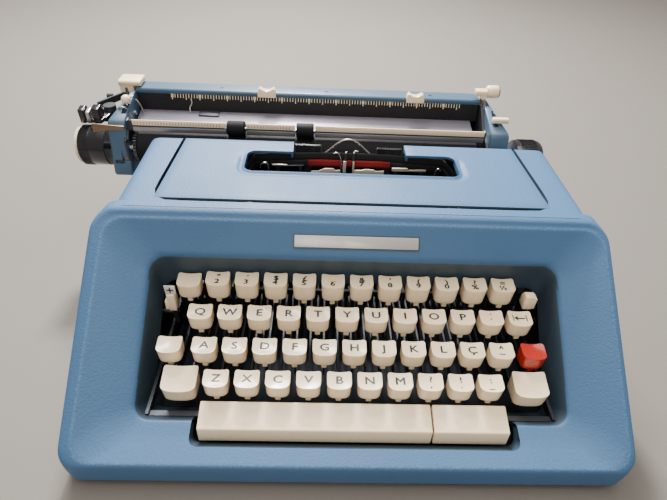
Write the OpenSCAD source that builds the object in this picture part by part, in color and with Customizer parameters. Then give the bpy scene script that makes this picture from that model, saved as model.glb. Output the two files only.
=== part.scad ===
// Portable manual typewriter: a sheet-metal and plastic body with a keyboard well,
// a hinged ribbon cover, a sliding carriage with its platen, and the writing
// mechanism inside. Millimetres. X to the right of the typist, Y to the back, Z up.
// The origin is on the desk, below the middle of the body. The carriage is drawn
// where the photograph shows it, part of the way to the left.

/* [Body] */
// Half of the width across the front collar
collar_half_w = 172; // [165:1:178]
// Half of the width across the deck
deck_half_w = 155; // [150:1:158]
// Half of the depth of the whole body
half_depth = 152; // [150:1:156]
// Height of the deck above the desk
deck_z = 122; // [121:0.5:123]
// Height of the lowest edge of the shell
shell_bottom_z = 8; // [7:0.5:9]
// Height of the shell's top behind the deck, under the carriage
trough_z = 76; // [74:0.5:76.5]
// Thickness of the shell's wall
wall = 2.5; // [2:0.1:3]
// Height of the body's front lip
lip_z = 24; // [22:0.5:25]
// Back edge of the deck
deck_back_y = 58.6; // [58:0.1:59]

/* [Keyboard] */
// Distance between the middles of neighbouring keys
key_pitch = 19; // [18.9:0.05:19.1]
// Width of a key cap
cap_w = 15; // [14.5:0.1:16.6]
// Depth of a key cap from front to back
cap_deep = 12.4; // [12:0.1:13]
// Height of a key cap
cap_tall = 10.6; // [9:0.1:11]
// Distance between one row of keys and the next, front to back
row_step = 18.5; // [18:0.1:19]
// Front face of the front row's caps
front_row_y = -114.3; // [-115:0.1:-114]
// Number of typing keys in the rows, from the back to the front
row_counts = [11, 11, 11, 10];
// Middle of the first typing key in each row, from the back to the front
row_first_x = [-88.5, -98, -93.25, -83.75];
// Height of the caps' lowest edge in each row, from the back to the front
row_z = [69, 57.7, 47.2, 38.7];
// Thickness of a key lever
lever_t = 1.2; // [1:0.1:1.6]

/* [Carriage] */
// Distance of the platen's axis behind the origin
platen_y = 80; // [79.5:0.1:80.5]
// Height of the platen's axis
platen_z = 101; // [100.5:0.1:101.5]
// Radius of the platen
platen_r = 15.5; // [15:0.1:15.7]
// Inner face of the left end cap
left_face_x = -180; // [-181:0.5:-179]
// Inner face of the right end cap
right_face_x = 114; // [113:0.5:115]
// Thickness of each end cap
end_cap_t = 14; // [12:0.5:15]
// Radius of the platen knobs
knob_r = 16.5; // [15:0.1:17]
// First mark of the writing scale
scale_first_x = -149; // [-150:0.5:-148]
// Distance between the marks of the writing scale
scale_pitch = 2.3; // [2.25:0.01:2.35]
// Number of marks after the first
scale_marks = 106; // [100:1:108]

/* [Mechanism] */
// Distance of the key levers' shaft behind the origin
fulcrum_y = 60; // [59:0.5:61]
// Height of the key levers' shaft
fulcrum_z = 30; // [29.5:0.5:30.5]
// Radius of the key levers' shaft
fulcrum_r = 2.5; // [2:0.1:3]
// Number of type bars
typebar_count = 43; // [39:2:43]
// Pitch radius of the escapement pinion
pinion_r = 10; // [9.9:0.1:10.3]
// Number of teeth on the escapement pinion
pinion_teeth = 20; // [18:1:20]
// Radius of the mainspring drum
drum_r = 23; // [20:0.5:24]
// Distance between the ribbon spools' axes
spool_span = 196; // [190:1:200]

/* [Hidden] */
$fn = 48;
eps = 0.01;
running_gap = 0.05;

// The sloping front face, from the lip to the shoulder
slope_front = [-half_depth, lip_z];
slope_back = [-33, deck_z - 0.5];
slope_angle = atan2(slope_back[1] - slope_front[1], slope_back[0] - slope_front[0]);
slope_len = norm(slope_back - slope_front);
shoulder_y = -22;
rear_start_y = shoulder_y - 30;
well_depth = 8;
// The opening for the keys, along the slope from the lip
well_left = -130;
well_right = 134;
well_v0 = 25;
well_v1 = 116;
notch_left = -97;
notch_right = 103;
notch_v0 = 11;

// The ribbon cover and the slot that the type strikes through
cover_half_w = 128;
cover_front_y = -20;
cover_t = 2;
cover_gap = 0.6;
ledge_gap = 0.5;
hinge_place = [-19, 121];
hinge_r = 0.7;
slot_left = -79;
slot_right = 77;
slot_front_y = 13.5;
tab_front_y = 39.7;
gate_left = -44;
gate_right = 42;

inner_face = 138.5;
frame_t = 2.5;
rail_y = 112;
rail_head_z = 85.4;
pinion_z = 76;
pinion_y = 99;
bell_place = [92, 112];
drum_x = -100;
drum_z = 50;
spool_y = 8;
spool_z = 100;
spool_r = 24;
spool_h = 15;
bail_y = 76;
bail_z = 122.3;
bail_pivot = [96, 103];
shaft_r = 3;

pan_top = 10.5;
comb_y = -28;
foot_places = [[-150, -122], [150, -122], [-150, 126], [150, 126]];
recess_left = -136.7;
recess_right = 139.4;
recess_v0 = 20.2;
recess_v1 = 120.6;
recess_centre_v = 60.9;
recess_flare = [1.174, 1.447];
recess_wall_angle = atan2(well_depth, (recess_v1 - recess_centre_v) * (recess_flare[1] - 1));
lever_pivot = [-55, 50];
lever_lanes = concat(
  [for (r = [0 : 3]) for (i = [0 : row_counts[r] - 1]) row_first_x[r] + i * key_pitch],
  [-107.5, 111, -112.25, 118.9, -102.75, 106.25, -126, 129]);
shift_places = [[-107, -102.75], [113, 106.25]];
dish_r = 22;
dish_half = 16;

// The fan of type bars
strike = [54.3, 102];
bar_len = 52;
pivot_r = 30;
pivot_pin_r = 0.7;
fan_drop = 8;
fan_height = sqrt(bar_len * bar_len - pivot_r * pivot_r);
fan_centre = strike - fan_height * [-sin(fan_drop), cos(fan_drop)];
fan_half = 76;
middle_bar = (typebar_count - 1) / 2;
segment_r0 = 25;
segment_r1 = 37;
segment_half = 80;
segment_t = 10;
ribbon_wound_r = 18;
ribbon_t = 0.3;
ribbon_path = [[0, 59.6], [22, 59.6], [44, 57.6], [74, 54.4], [84.5, 21.6]];
return_pivot = [-200, 104];
release_pivot = [115, 118];
selector_pivot = [92, 120];
feed_r = 4;
feed_y = 90;
feed_z = 83.6;
roller_places = [-98, -43];
roller_w = 14;
roller_r = 5.9;
function fan_angle(i) = (i - middle_bar) * fan_half / middle_bar;

function row_y(row) = front_row_y + (3 - row) * row_step;
function arc(c, r, a0, a1, n) =
  [for (i = [0:n]) c + r * [cos(a0 + (a1 - a0) * i / n), sin(a0 + (a1 - a0) * i / n)]];
function round_rect(x0, y0, x1, y1, r) = concat(
  arc([x1 - r, y1 - r], r, 0, 90, 6), arc([x0 + r, y1 - r], r, 90, 180, 6),
  arc([x0 + r, y0 + r], r, 180, 270, 6), arc([x1 - r, y0 + r], r, 270, 360, 6));

// A solid of the given side outline, points as [y, z], from x0 to x1
module side(x0, x1, points) {
  translate([x0, 0, 0])
    rotate([90, 0, 90])
      linear_extrude(x1 - x0)
        polygon(points);
}

module box(low, high) {
  translate(low)
    cube(high - low);
}

module slab(x, y0, y1, z0, z1, r) {
  translate([0, 0, z0])
    linear_extrude(z1 - z0)
      polygon(round_rect(-x, y0, x, y1, r));
}

module rod(p, length, r) {
  translate(p)
    rotate([0, 90, 0])
      cylinder(h = length, r = r);
}

module rod_y(p, length, r) {
  translate(p)
    rotate([-90, 0, 0])
      cylinder(h = length, r = r);
}

// Things drawn along the slope: x across, y up the slope, z square to it
module on_slope(depth) {
  translate([0, slope_front[0], slope_front[1]])
    rotate([slope_angle, 0, 0])
      translate([0, 0, depth])
        children();
}

// The collar and the deck as two solids, drawn in by the wall where inset is set
module body_form(inset) {
  hull() {
    slab(collar_half_w - inset, -half_depth + inset, shoulder_y - inset,
      shell_bottom_z - inset, shell_bottom_z + 4, 12);
    slab(collar_half_w - inset, -half_depth + inset, shoulder_y - inset, 16, lip_z - inset, 12);
    slab(165 - inset, slope_back[0] + inset, shoulder_y - inset, 115, deck_z - inset, 5);
  }
  hull() {
    slab(166 - inset, rear_start_y, half_depth - inset,
      shell_bottom_z - inset, shell_bottom_z + 4, 12);
    slab(162 - inset, rear_start_y, half_depth - inset, 60, trough_z - inset, 12);
  }
  hull() {
    slab(163 - inset, shoulder_y - 10, deck_back_y - inset, 60, 64, 5);
    slab(deck_half_w - inset, shoulder_y - 10, deck_back_y - inset, 110, deck_z - inset, 5);
  }
}

module well_outline() {
  polygon(round_rect(well_left, well_v0, well_right, well_v1, 9));
  polygon(round_rect(notch_left, notch_v0, notch_right, well_v0 + 20, 5));
}

// The dished recess round the keys: narrow at its floor and wide at the rim
module well_recess(grow) {
  on_slope(-well_depth - grow)
    translate([0, recess_centre_v, 0])
      linear_extrude(well_depth + grow, scale = recess_flare, slices = 1)
        polygon(round_rect(recess_left - grow, recess_v0 - recess_centre_v - grow,
          recess_right + grow, recess_v1 - recess_centre_v + grow, 12));
}

module cover_ledge() {
  difference() {
    box([-cover_half_w - 3, cover_front_y - 3, deck_z - 5.5],
      [cover_half_w + 3, deck_back_y, deck_z - cover_t - ledge_gap]);
    box([-cover_half_w + 4, cover_front_y + 3, deck_z - 7], [cover_half_w - 4, deck_back_y + 1, deck_z]);
  }
}

module upper_shell() {
  color([0.47, 0.63, 0.78])
    difference() {
      union() {
        difference() {
          body_form(0);
          difference() {
            body_form(wall);
            well_recess(wall);
          }
          box([-cover_half_w + 2, cover_front_y + 2, deck_z - 20], [cover_half_w - 2, deck_back_y + 1, deck_z + 1]);
        }
        cover_ledge();
      }
      well_recess(0);
      on_slope(-eps)
        linear_extrude(6)
          polygon(round_rect(-157, 5, 160, 144, 14));
      on_slope(-well_depth - 20)
        linear_extrude(30)
          well_outline();
      box([notch_left, -140, 0], [notch_right, -120, 30]);
      box([-cover_half_w - cover_gap, cover_front_y - cover_gap, deck_z - cover_t - ledge_gap],
        [cover_half_w + cover_gap, deck_back_y + 1, deck_z + 1]);
      rod([-cover_half_w - 2, hinge_place[0], hinge_place[1]], 2 * cover_half_w + 4, hinge_r + running_gap);
      box([-146, 40, 60], [146, deck_back_y + 1, deck_z - 6]);
      box([-150, 40, trough_z - wall - 1], [150, 136, trough_z + 1]);
      box([-200, -200, 0], [200, 200, shell_bottom_z]);
    }
}

// The tray that closes the body from below
module base_pan() {
  color([0.2, 0.22, 0.25])
    difference() {
      union() {
        slab(collar_half_w - wall - 0.5, -half_depth + wall + 1.5, shoulder_y - wall - 1, 8.5, pan_top, 10);
        slab(163, rear_start_y, half_depth - wall - 0.5, 8.5, pan_top, 10);
      }
      for (p = foot_places)
        translate([p[0], p[1], 0])
          cylinder(h = 20, r = 2.1);
    }
}

module rubber_feet() {
  color([0.1, 0.1, 0.1])
    for (p = foot_places)
      translate([p[0], p[1], 0])
        difference() {
          cylinder(h = 8.5, r1 = 10, r2 = 12);
          translate([0, 0, -1])
            cylinder(h = 5, r = 5);
          translate([0, 0, -1])
            cylinder(h = 20, r = 2.1);
        }
}

module base_screws() {
  color([0.6, 0.6, 0.62])
    for (p = foot_places)
      translate([p[0], p[1], 0]) {
        translate([0, 0, 1.8])
          cylinder(h = 2.2, r = 4.2);
        translate([0, 0, 3.9])
          cylinder(h = 10, r = 2);
        translate([0, 0, pan_top])
          cylinder(h = 3, r = 4, $fn = 6);
      }
}

// The bare plate on the steep rear wall of the recess
module name_plate() {
  color([0.68, 0.67, 0.66])
    on_slope(-well_depth)
      translate([1.5, recess_v1, 0])
        rotate([recess_wall_angle, 0, 0])
          translate([-39.5, 10.5, 0.15])
            cube([80, 8, 0.8]);
}

module side_frames() {
  color([0.55, 0.56, 0.58])
    for (s = [-1, 1])
      difference() {
        side(s < 0 ? -inner_face - frame_t : inner_face, s < 0 ? -inner_face : inner_face + frame_t, [
          [-72, pan_top], [-72, 60], [-34, 72], [-12, 100], [-12, 110], [57, 110], [57, 84],
          [63.2, 84], [63.2, 72], [130, 72], [134, 68], [134, pan_top]]);
        rod([-200, fulcrum_y, fulcrum_z], 400, fulcrum_r);
        rod([-200, lever_pivot[0], lever_pivot[1]], 400, 1.5 + running_gap);
      }
}

// The fixed rail that the carriage runs on, with the lug that carries the mainspring
module carriage_rail() {
  color([0.62, 0.63, 0.65])
    difference() {
      union() {
        box([-inner_face, rail_y - 2, 58], [inner_face, rail_y + 2, 78]);
        box([-150, rail_y - 4, 77.9], [150, rail_y + 4, rail_head_z]);
        box([drum_x - 9, rail_y - 2, drum_z - 9], [drum_x + 9, rail_y + 2, 60]);
      }
      rod_y([0, rail_y - 10, pinion_z], 30, 2 + running_gap);
      rod_y([drum_x, rail_y - 10, drum_z], 30, 3 + running_gap);
    }
}

module key_fulcrum_shaft() {
  color([0.7, 0.7, 0.72])
    rod([-inner_face - frame_t, fulcrum_y, fulcrum_z], 2 * (inner_face + frame_t), fulcrum_r);
}

// The slotted plate that keeps every key lever upright
module key_comb() {
  color([0.5, 0.51, 0.53])
    translate([0, comb_y, 0])
      rotate([90, 0, 0])
        linear_extrude(2)
          difference() {
            translate([-inner_face, pan_top])
              square([2 * inner_face, 48 - pan_top]);
            for (x = lever_lanes)
              translate([x - 1.2, 15])
                square([2.4, 28]);
          }
}

module spool_cups() {
  color([0.3, 0.31, 0.33])
    for (s = [-1, 1])
      translate([s * spool_span / 2, spool_y, 0]) {
        difference() {
          union() {
            translate([0, 0, spool_z - 5])
              cylinder(h = 4, r = spool_r + 2.5);
            translate([s > 0 ? 0 : -inner_face + spool_span / 2, -6, spool_z - 5])
              cube([inner_face - spool_span / 2, 12, 1.5]);
          }
          translate([0, 0, spool_z - 3.5])
            cylinder(h = 10, r = spool_r + 1.3);
        }
        translate([0, 0, spool_z - 4])
          cylinder(h = spool_h + 6, r = 2);
      }
}

// One reel of ribbon: two flanges, the hub and what is wound on it
module ribbon_spool(s) {
  color([0.25, 0.25, 0.27])
    translate([s * spool_span / 2, spool_y, spool_z - 2])
      difference() {
        union() {
          cylinder(h = 1, r = spool_r);
          cylinder(h = spool_h + 2, r = ribbon_wound_r);
          translate([0, 0, spool_h + 1])
            cylinder(h = 1, r = spool_r);
        }
        translate([0, 0, -1])
          cylinder(h = spool_h + 5, r = 2 + running_gap);
        for (a = [0 : 60 : 300])
          rotate([0, 0, a])
            translate([9, 0, spool_h - 3])
              cylinder(h = 8, r = 2.4);
      }
}

module ribbon_spool_left() {
  ribbon_spool(-1);
}

module ribbon_spool_right() {
  ribbon_spool(1);
}

module ribbon() {
  outer = [for (p = ribbon_path) p + [0, ribbon_t]];
  color([0.08, 0.07, 0.08])
    translate([0, 0, spool_z - 0.4])
      linear_extrude(13)
        for (s = [-1, 1])
          for (i = [0 : len(ribbon_path) - 2])
            polygon([[s * ribbon_path[i][0], ribbon_path[i][1]],
              [s * ribbon_path[i + 1][0], ribbon_path[i + 1][1]],
              [s * outer[i + 1][0], outer[i + 1][1]], [s * outer[i][0], outer[i][1]]]);
}

module bell() {
  color([0.75, 0.72, 0.6])
    translate([bell_place[0], bell_place[1], 0]) {
      translate([0, 0, 20])
        rotate_extrude()
          polygon(concat([[0, 16]], arc([0, 0], 16, 90, 20, 8), [[16.5, 3], [18, 0]],
            [[16.4, 0.4], [14.6, 4.6]], arc([0, 0], 14.6, 20, 90, 8)));
      translate([0, 0, pan_top])
        cylinder(h = 34.7 - pan_top, r = 3);
    }
}

// Two clear plates in front of the platen that hold a card against it
module card_holder() {
  color([0.2, 0.21, 0.23])
    difference() {
      union() {
        box([-inner_face, 60, 78], [inner_face, 63, 82]);
        for (x = [[-44, -22], [21, 42]]) {
          box([x[0], 61.4, 98], [x[1], 62.4, 117]);
          box([x[0] + 8, 60.6, 81], [x[1] - 8, 62.4, 98.1]);
        }
      }
      box([-9, 50, 79.5], [9, 61.5, 90]);
    }
}

module cover_outline() {
  difference() {
    polygon(round_rect(-cover_half_w, cover_front_y, cover_half_w, deck_back_y - 1, 2));
    polygon(round_rect(slot_left, slot_front_y, slot_right, tab_front_y, 4));
    polygon(round_rect(gate_left, tab_front_y - 12, gate_right, deck_back_y + 6, 2));
  }
}

module slot_outline(grow) {
  polygon(round_rect(slot_left - grow, slot_front_y - grow, slot_right + grow, tab_front_y + grow, 4));
  polygon(round_rect(gate_left - grow, tab_front_y - 12, gate_right + grow, deck_back_y - 1, 1));
}

module ribbon_cover() {
  color([0.55, 0.67, 0.83]) {
    translate([0, 0, deck_z - cover_t])
      linear_extrude(cover_t)
        cover_outline();
    for (x = [-cover_half_w - 1.6, cover_half_w - 3])
      rod([x, hinge_place[0], hinge_place[1]], 4.6, hinge_r);
    translate([0, 0, deck_z - 5])
      linear_extrude(3.1)
        difference() {
          slot_outline(1.6);
          slot_outline(0);
          translate([gate_left, tab_front_y])
            square([gate_right - gate_left, 40]);
        }
  }
}

// The plane of the type bars' fan: x across, y away from the strike point, z out of it
module on_fan() {
  translate([0, fan_centre[0], fan_centre[1]])
    rotate([fan_drop, 0, 0])
      children();
}

module segment_ring() {
  on_fan()
    translate([0, 0, -segment_t / 2])
      linear_extrude(segment_t)
        polygon(concat(arc([0, 0], segment_r1, 270 - segment_half, 270 + segment_half, 40),
          arc([0, 0], segment_r0, 270 + segment_half, 270 - segment_half, 40)));
}

module type_segment() {
  color([0.72, 0.72, 0.7]) {
    difference() {
      segment_ring();
      on_fan()
        for (i = [0 : typebar_count - 1])
          rotate([0, 0, fan_angle(i)])
            translate([-0.6, -segment_r1 - 1, -segment_t / 2 + 2])
                cube([1.2, segment_r1 - segment_r0 + 2, segment_t]);
    }
    on_fan()
      rod([-1.5, -pivot_r, 0], 3, pivot_pin_r);
  }
}

// A type bar lying in the fan, pointing away from the centre
module typebar_form() {
  translate([-0.4, 0, 0])
    rotate([90, 0, 90])
      linear_extrude(0.8)
        polygon([[-pivot_r + 2, -1.7], [-pivot_r + 2, 1.7], [-pivot_r - 6, 2.5],
          [-pivot_r - bar_len + 2, 1.4], [-pivot_r - bar_len + 2, -1.4], [-pivot_r - 6, -2.5]]);
  translate([-1.6, -pivot_r - bar_len - 1.5, -2.5])
    cube([3.2, 3.6, 7]);
}

module typebars() {
  color([0.66, 0.67, 0.68])
    on_fan()
      for (i = [0 : typebar_count - 1])
        if (i != middle_bar)
          rotate([0, 0, fan_angle(i)])
            typebar_form();
}

module centre_typebar() {
  color([0.66, 0.67, 0.68])
    on_fan()
      difference() {
        typebar_form();
        rod([-2, -pivot_r, 0], 4, pivot_pin_r + running_gap);
      }
}

module type_guide() {
  color([0.78, 0.74, 0.66])
    difference() {
      union() {
        for (s = [-1, 1]) {
          side(s < 0 ? -4.2 : 2.4, s < 0 ? -2.4 : 4.2, [[54, 112], [56, 113.5], [57, 112], [57, 96],
            [50, 78], [37, 57], [30, 57], [32, 66], [47, 84], [53, 97]]);
          box([s < 0 ? -28 : 2.4, 47, 96], [s < 0 ? -2.4 : 34, 54, 98]);
        }
      }
      segment_ring();
    }
}

module ribbon_vibrator() {
  color([0.7, 0.7, 0.72])
    difference() {
      union() {
        box([-8, 57.4, 83], [8, 59.2, 88]);
        for (s = [-1, 1])
          side(s < 0 ? -8 : 6.6, s < 0 ? -6.6 : 8, [[57.4, 84], [59.2, 84], [59.2, 113.1],
            [60.6, 113.1], [60.6, 104], [61.2, 104], [61.2, 114], [57.4, 114]]);
      }
      box([-2.2, 50, 82], [2.2, 58.4, 90]);
    }
}

module mainspring_drum() {
  color([0.4, 0.41, 0.43]) {
    rod_y([drum_x, rail_y + 3, drum_z], 15, drum_r);
    rod_y([drum_x, rail_y - 4, drum_z], 10, 3);
  }
}

// A toothed outline: straight flanks, thinner than its gap so that it runs free
function tooth(a, r) = [
  [(r - 1.25) * cos(a - 4.4), (r - 1.25) * sin(a - 4.4)],
  [(r + 0.8) * cos(a - 1.7), (r + 0.8) * sin(a - 1.7)],
  [(r + 0.8) * cos(a + 1.7), (r + 0.8) * sin(a + 1.7)],
  [(r - 1.25) * cos(a + 4.4), (r - 1.25) * sin(a + 4.4)]];

module escapement_wheel() {
  color([0.72, 0.66, 0.45])
    translate([0, pinion_y - 2, pinion_z]) {
      rotate([-90, 0, 0]) {
        linear_extrude(5)
          polygon([for (i = [0 : pinion_teeth - 1])
            each tooth(90 + i * 360 / pinion_teeth, pinion_r)]);
        translate([0, 0, -6])
          cylinder(h = 22, r = 2);
      }
      translate([0, -1, 0])
        rotate([90, 0, 0])
          linear_extrude(1.5)
            polygon([for (i = [0 : 29]) each [
              [8.4 * cos(i * 12), 8.4 * sin(i * 12)], [7 * cos(i * 12 + 3), 7 * sin(i * 12 + 3)]]]);
    }
}

module rack_teeth() {
  pitch = 2 * PI * pinion_r / pinion_teeth;
  first = -49;
  last = 31;
  translate([0, pinion_y - 2.5, pinion_z + pinion_r])
    mirror([0, 0, 1])
      rotate([90, 0, 0])
        mirror([0, 0, 1])
          linear_extrude(6)
            polygon(concat([[(first - 1) * pitch, -2.1]],
              [for (i = [first : last]) each [
                [(i + 0.5) * pitch - 0.95, -1.25], [(i + 0.5) * pitch - 0.3, 0.8],
                [(i + 0.5) * pitch + 0.3, 0.8], [(i + 0.5) * pitch + 0.95, -1.25]]],
              [[(last + 2) * pitch, -2.1]]));
}

module end_plate(x) {
  difference() {
    side(x, x + 2, [[68, 90], [68, 112], [76, 117], [90, 121], [108, 133], [115, 133],
      [128, 133], [134, 130], [134, 84], [126, 80], [76, 82]]);
    rod([x - 5, platen_y, platen_z], 12, shaft_r + running_gap);
    rod([x - 5, bail_pivot[0], bail_pivot[1]], 12, 1.5 + running_gap);
    rod([x - 5, feed_y, feed_z], 12, 1.5 + running_gap);
    rod([x - 5, release_pivot[0], release_pivot[1]], 12, 1.5 + running_gap);
    rail_notch(x - 1, x + 3);
  }
}

// Room for the fixed rail to pass through an end piece
module rail_notch(x0, x1) {
  box([x0, rail_y - 5, 78], [x1, rail_y + 5, rail_head_z + 0.8]);
}

module carriage_frame() {
  color([0.16, 0.16, 0.18]) {
    end_plate(left_face_x);
    end_plate(right_face_x - 2);
    box([left_face_x + 2, 97, 88], [right_face_x - 2, 126, 91]);
    box([left_face_x + 2, rail_y - 7.4, 79], [right_face_x - 2, rail_y - 4.6, 88.1]);
    box([left_face_x + 2, rail_y + 4.6, 79], [right_face_x - 2, rail_y + 7.4, 88.1]);
    box([left_face_x + 1.9, 131, 108], [right_face_x - 1.9, 133.5, 112]);
    rack_teeth();
  }
}

module end_cap_form(x) {
  difference() {
    side(x, x + end_cap_t, [[67, 80], [64.2, 84], [72.8, 123], [75.6, 127], [104, 135.6],
      [124, 135.6], [127, 132], [127, 84], [123, 80]]);
    rod([x - 5, platen_y, platen_z], 30, shaft_r + 1.5);
    rod([x - 5, bail_pivot[0], bail_pivot[1]], 30, 2);
    rod([x - 5, feed_y, feed_z], 30, 2);
    rail_notch(x - 1, x + end_cap_t + 1);
  }
}

// The left cap also carries the return lever's bracket and two small levers
module end_cap_left() {
  color([0.38, 0.5, 0.58])
    difference() {
      union() {
        end_cap_form(left_face_x - end_cap_t);
        box([left_face_x - end_cap_t - 12, 96, 114], [left_face_x - end_cap_t + 1, 112, 118]);
      }
      translate([return_pivot[0], return_pivot[1], 100])
        cylinder(h = 30, r = 3 + running_gap);
      box([left_face_x - 10, 60, 92], [left_face_x + 1, 70, 96]);
      box([-183.8, 82, 112], [left_face_x + 1, 103, 140]);
      box([left_face_x - end_cap_t - 1, 111.3, 130.4], [left_face_x + 1, 130, 140]);
      box([-188.6, 105, 112], [-185.6, 130, 140]);
      rod([-186, selector_pivot[0], selector_pivot[1]], 10, 1.5 + running_gap);
      rod([-193, release_pivot[0], release_pivot[1]], 10, 1.5 + running_gap);
    }
}

module end_cap_right() {
  color([0.38, 0.5, 0.58])
    difference() {
      end_cap_form(right_face_x);
      box([right_face_x - 1, 95, 110], [right_face_x + 4, 130, 140]);
      box([118.4, 80, 112], [121.4, 100, 140]);
      rod([112, selector_pivot[0], selector_pivot[1]], 13, 1.5 + running_gap);
      rod([112, release_pivot[0], release_pivot[1]], 9, 1.5 + running_gap);
    }
}

module paper_support() {
  color([0.5, 0.62, 0.74])
    side(left_face_x + 2, right_face_x - 2, [[115.4, 133.6], [115.4, 136.3], [117, 137.2], [128, 136.8],
      [130, 134.6], [130, 91], [127.6, 91], [127.6, 133.6]]);
}

module scale_strip() {
  color([0.08, 0.08, 0.09])
    side(left_face_x + 3, right_face_x - 3, [[114, 136], [115.3, 135.6], [109.4, 119.6], [108.1, 120.2]]);
}

module paper_table() {
  color([0.36, 0.35, 0.42])
    side(-170, 105, concat([[107.6, 119.9]], arc([platen_y, platen_z], platen_r + 2.7, 58, -28, 12),
      arc([platen_y, platen_z], platen_r + 1.5, -28, 62, 12), [[107.4, 121]]));
}

module platen() {
  color([0.07, 0.07, 0.08])
    difference() {
      rod([-170, platen_y, platen_z], 275, platen_r);
      rod([-171, platen_y, platen_z], 277, shaft_r);
    }
}

// The platen's axle, with the ratchet wheel of the line spacing near its left end
module platen_shaft() {
  color([0.7, 0.7, 0.72]) {
    rod([-217.9, platen_y, platen_z], 371.9, shaft_r);
    translate([-174.6, platen_y, platen_z])
      rotate([90, 0, 90])
        linear_extrude(2.4)
          polygon([for (i = [0 : 29]) each [
            [12.5 * cos(i * 12), 12.5 * sin(i * 12)], [11 * cos(i * 12 + 2), 11 * sin(i * 12 + 2)]]]);
  }
}

module knob_form(x, length) {
  difference() {
    rod([x, platen_y, platen_z], length, knob_r);
    rod([x - 1, platen_y, platen_z], length + 2, shaft_r);
    for (a = [0 : 20 : 340])
      translate([x - 1, platen_y, platen_z])
        rotate([a, 0, 0])
          translate([0, knob_r + 0.6, 0])
            rotate([0, 90, 0])
              cylinder(h = length + 2, r = 1.4, $fn = 16);
  }
}

module knob_left() {
  color([0.08, 0.08, 0.09])
    knob_form(-218, 22);
  color([0.86, 0.78, 0.6])
    rod([-220.5, platen_y, platen_z], 2.55, 15);
}

module knob_right() {
  color([0.08, 0.08, 0.09])
    knob_form(138, 24);
}

module paper_bail() {
  color([0.82, 0.76, 0.68]) {
    difference() {
      side(-176, 110.5, [[75, 126], [76.2, 126], [76.8, 119], [75.6, 119]]);
      for (x = roller_places)
        box([x - 1, 60, 110], [x + roller_w + 1, 90, 140]);
    }
    for (x = roller_places)
      rod([x - 2, bail_y, bail_z], roller_w + 4, 1.2);
    for (x = [-177.4, 109.2])
      side(x, x + 1.4, [[74.6, 119], [74.6, 127], [79, 127.5], [98.5, 106], [98.5, 100.5], [93.5, 100.5],
        [93.5, 105]]);
    rod([-180, bail_pivot[0], bail_pivot[1]], 3.5, 1.5);
    rod([110, bail_pivot[0], bail_pivot[1]], 4, 1.5);
  }
}

module bail_rollers() {
  color([0.08, 0.08, 0.09])
    for (x = roller_places)
      difference() {
        rod([x, bail_y, bail_z], roller_w, roller_r);
        rod([x - 1, bail_y, bail_z], roller_w + 2, 1.2 + running_gap);
      }
}

module feed_rollers() {
  color([0.1, 0.1, 0.1]) {
    rod([left_face_x - 1, feed_y, feed_z], right_face_x - left_face_x + 2, 1.5);
    for (x = [-150, -50, 50])
      rod([x, feed_y, feed_z], 30, feed_r);
  }
}

module return_lever() {
  color([0.12, 0.12, 0.14]) {
    translate([return_pivot[0], return_pivot[1], 118.4])
      union() {
        cylinder(h = 4, r = 5.2);
        linear_extrude(4)
          polygon([[-3, 4], [4, -4], [-3.5, -22], [-14.5, -18], [-16.5, -10]]);
      }
    translate([return_pivot[0], return_pivot[1], 110])
      cylinder(h = 9, r = 3);
    translate([return_pivot[0], return_pivot[1], 0])
      for (i = [0 : 2])
        translate([-16 + i * 3.4, -18.5 - i * 1.4, 120])
          rotate([0, 0, -22])
            cube([2.6, 9, 8]);
  }
}

// A cream stop that clips over the rail and is moved along it
module margin_stop(x) {
  color([0.88, 0.82, 0.7]) {
    box([x - 7.5, 114.6, 137.6], [x + 7.5, 132.4, 139.4]);
    side(x - 7.5, x + 7.5, [[113.4, 136.4], [111, 129.4], [109, 129.4], [111.6, 139], [113, 140.6],
      [116, 140.6], [119.6, 139.3], [119.6, 137.7], [114, 137.7]]);
    box([x - 5, 130.6, 113], [x + 5, 132.4, 137.7]);
  }
}

module margin_stop_left() {
  margin_stop(-70.5);
}

module margin_stop_right() {
  margin_stop(56.5);
}

// The lever at the right that frees the paper, with its round thumb disc
module paper_release_lever() {
  color([0.88, 0.82, 0.7]) {
    side(right_face_x + 0.6, right_face_x + 3.4, [[112, 114], [111, 122], [112, 150], [119, 150],
      [120, 122], [118, 114]]);
    box([107, 113, 146], [129, 119, 150]);
    translate([127, 116, 146])
      cylinder(h = 5, r = 5);
    rod([right_face_x - 1.8, release_pivot[0], release_pivot[1]], 8, 1.5);
  }
}

// The block at the left that frees the carriage when it is pressed
module carriage_release_left() {
  color([0.88, 0.82, 0.7]) {
    box([-193, 113, 137.6], [-174, 130, 142.4]);
    box([-193, 115, 131], [-180.6, 130, 137.7]);
    side(-188.2, -186, [[112, 114], [110, 122], [116, 137.7], [124, 137.7], [120, 122], [118, 114]]);
    rod([-192, release_pivot[0], release_pivot[1]], 8, 1.5);
  }
}

module carriage_release_right() {
  color([0.88, 0.82, 0.7]) {
    box([117.5, 87.5, 132.4], [130, 92.5, 136.4]);
    side(118.8, 121, [[89, 116], [88, 132.5], [92, 132.5], [95, 124], [95, 116]]);
    rod([115, selector_pivot[0], selector_pivot[1]], 8, 1.5);
  }
}

// The line space selector: a thin lever with a ball on its tip
module line_space_selector() {
  color([0.88, 0.82, 0.7]) {
    side(-183.2, -181, [[89, 116], [90, 136], [95, 136], [95, 116]]);
    translate([-182.1, 92.6, 137.6])
      sphere(r = 3.6, $fn = 32);
    rod([-185.6, selector_pivot[0], selector_pivot[1]], 5, 1.5);
  }
}

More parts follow.
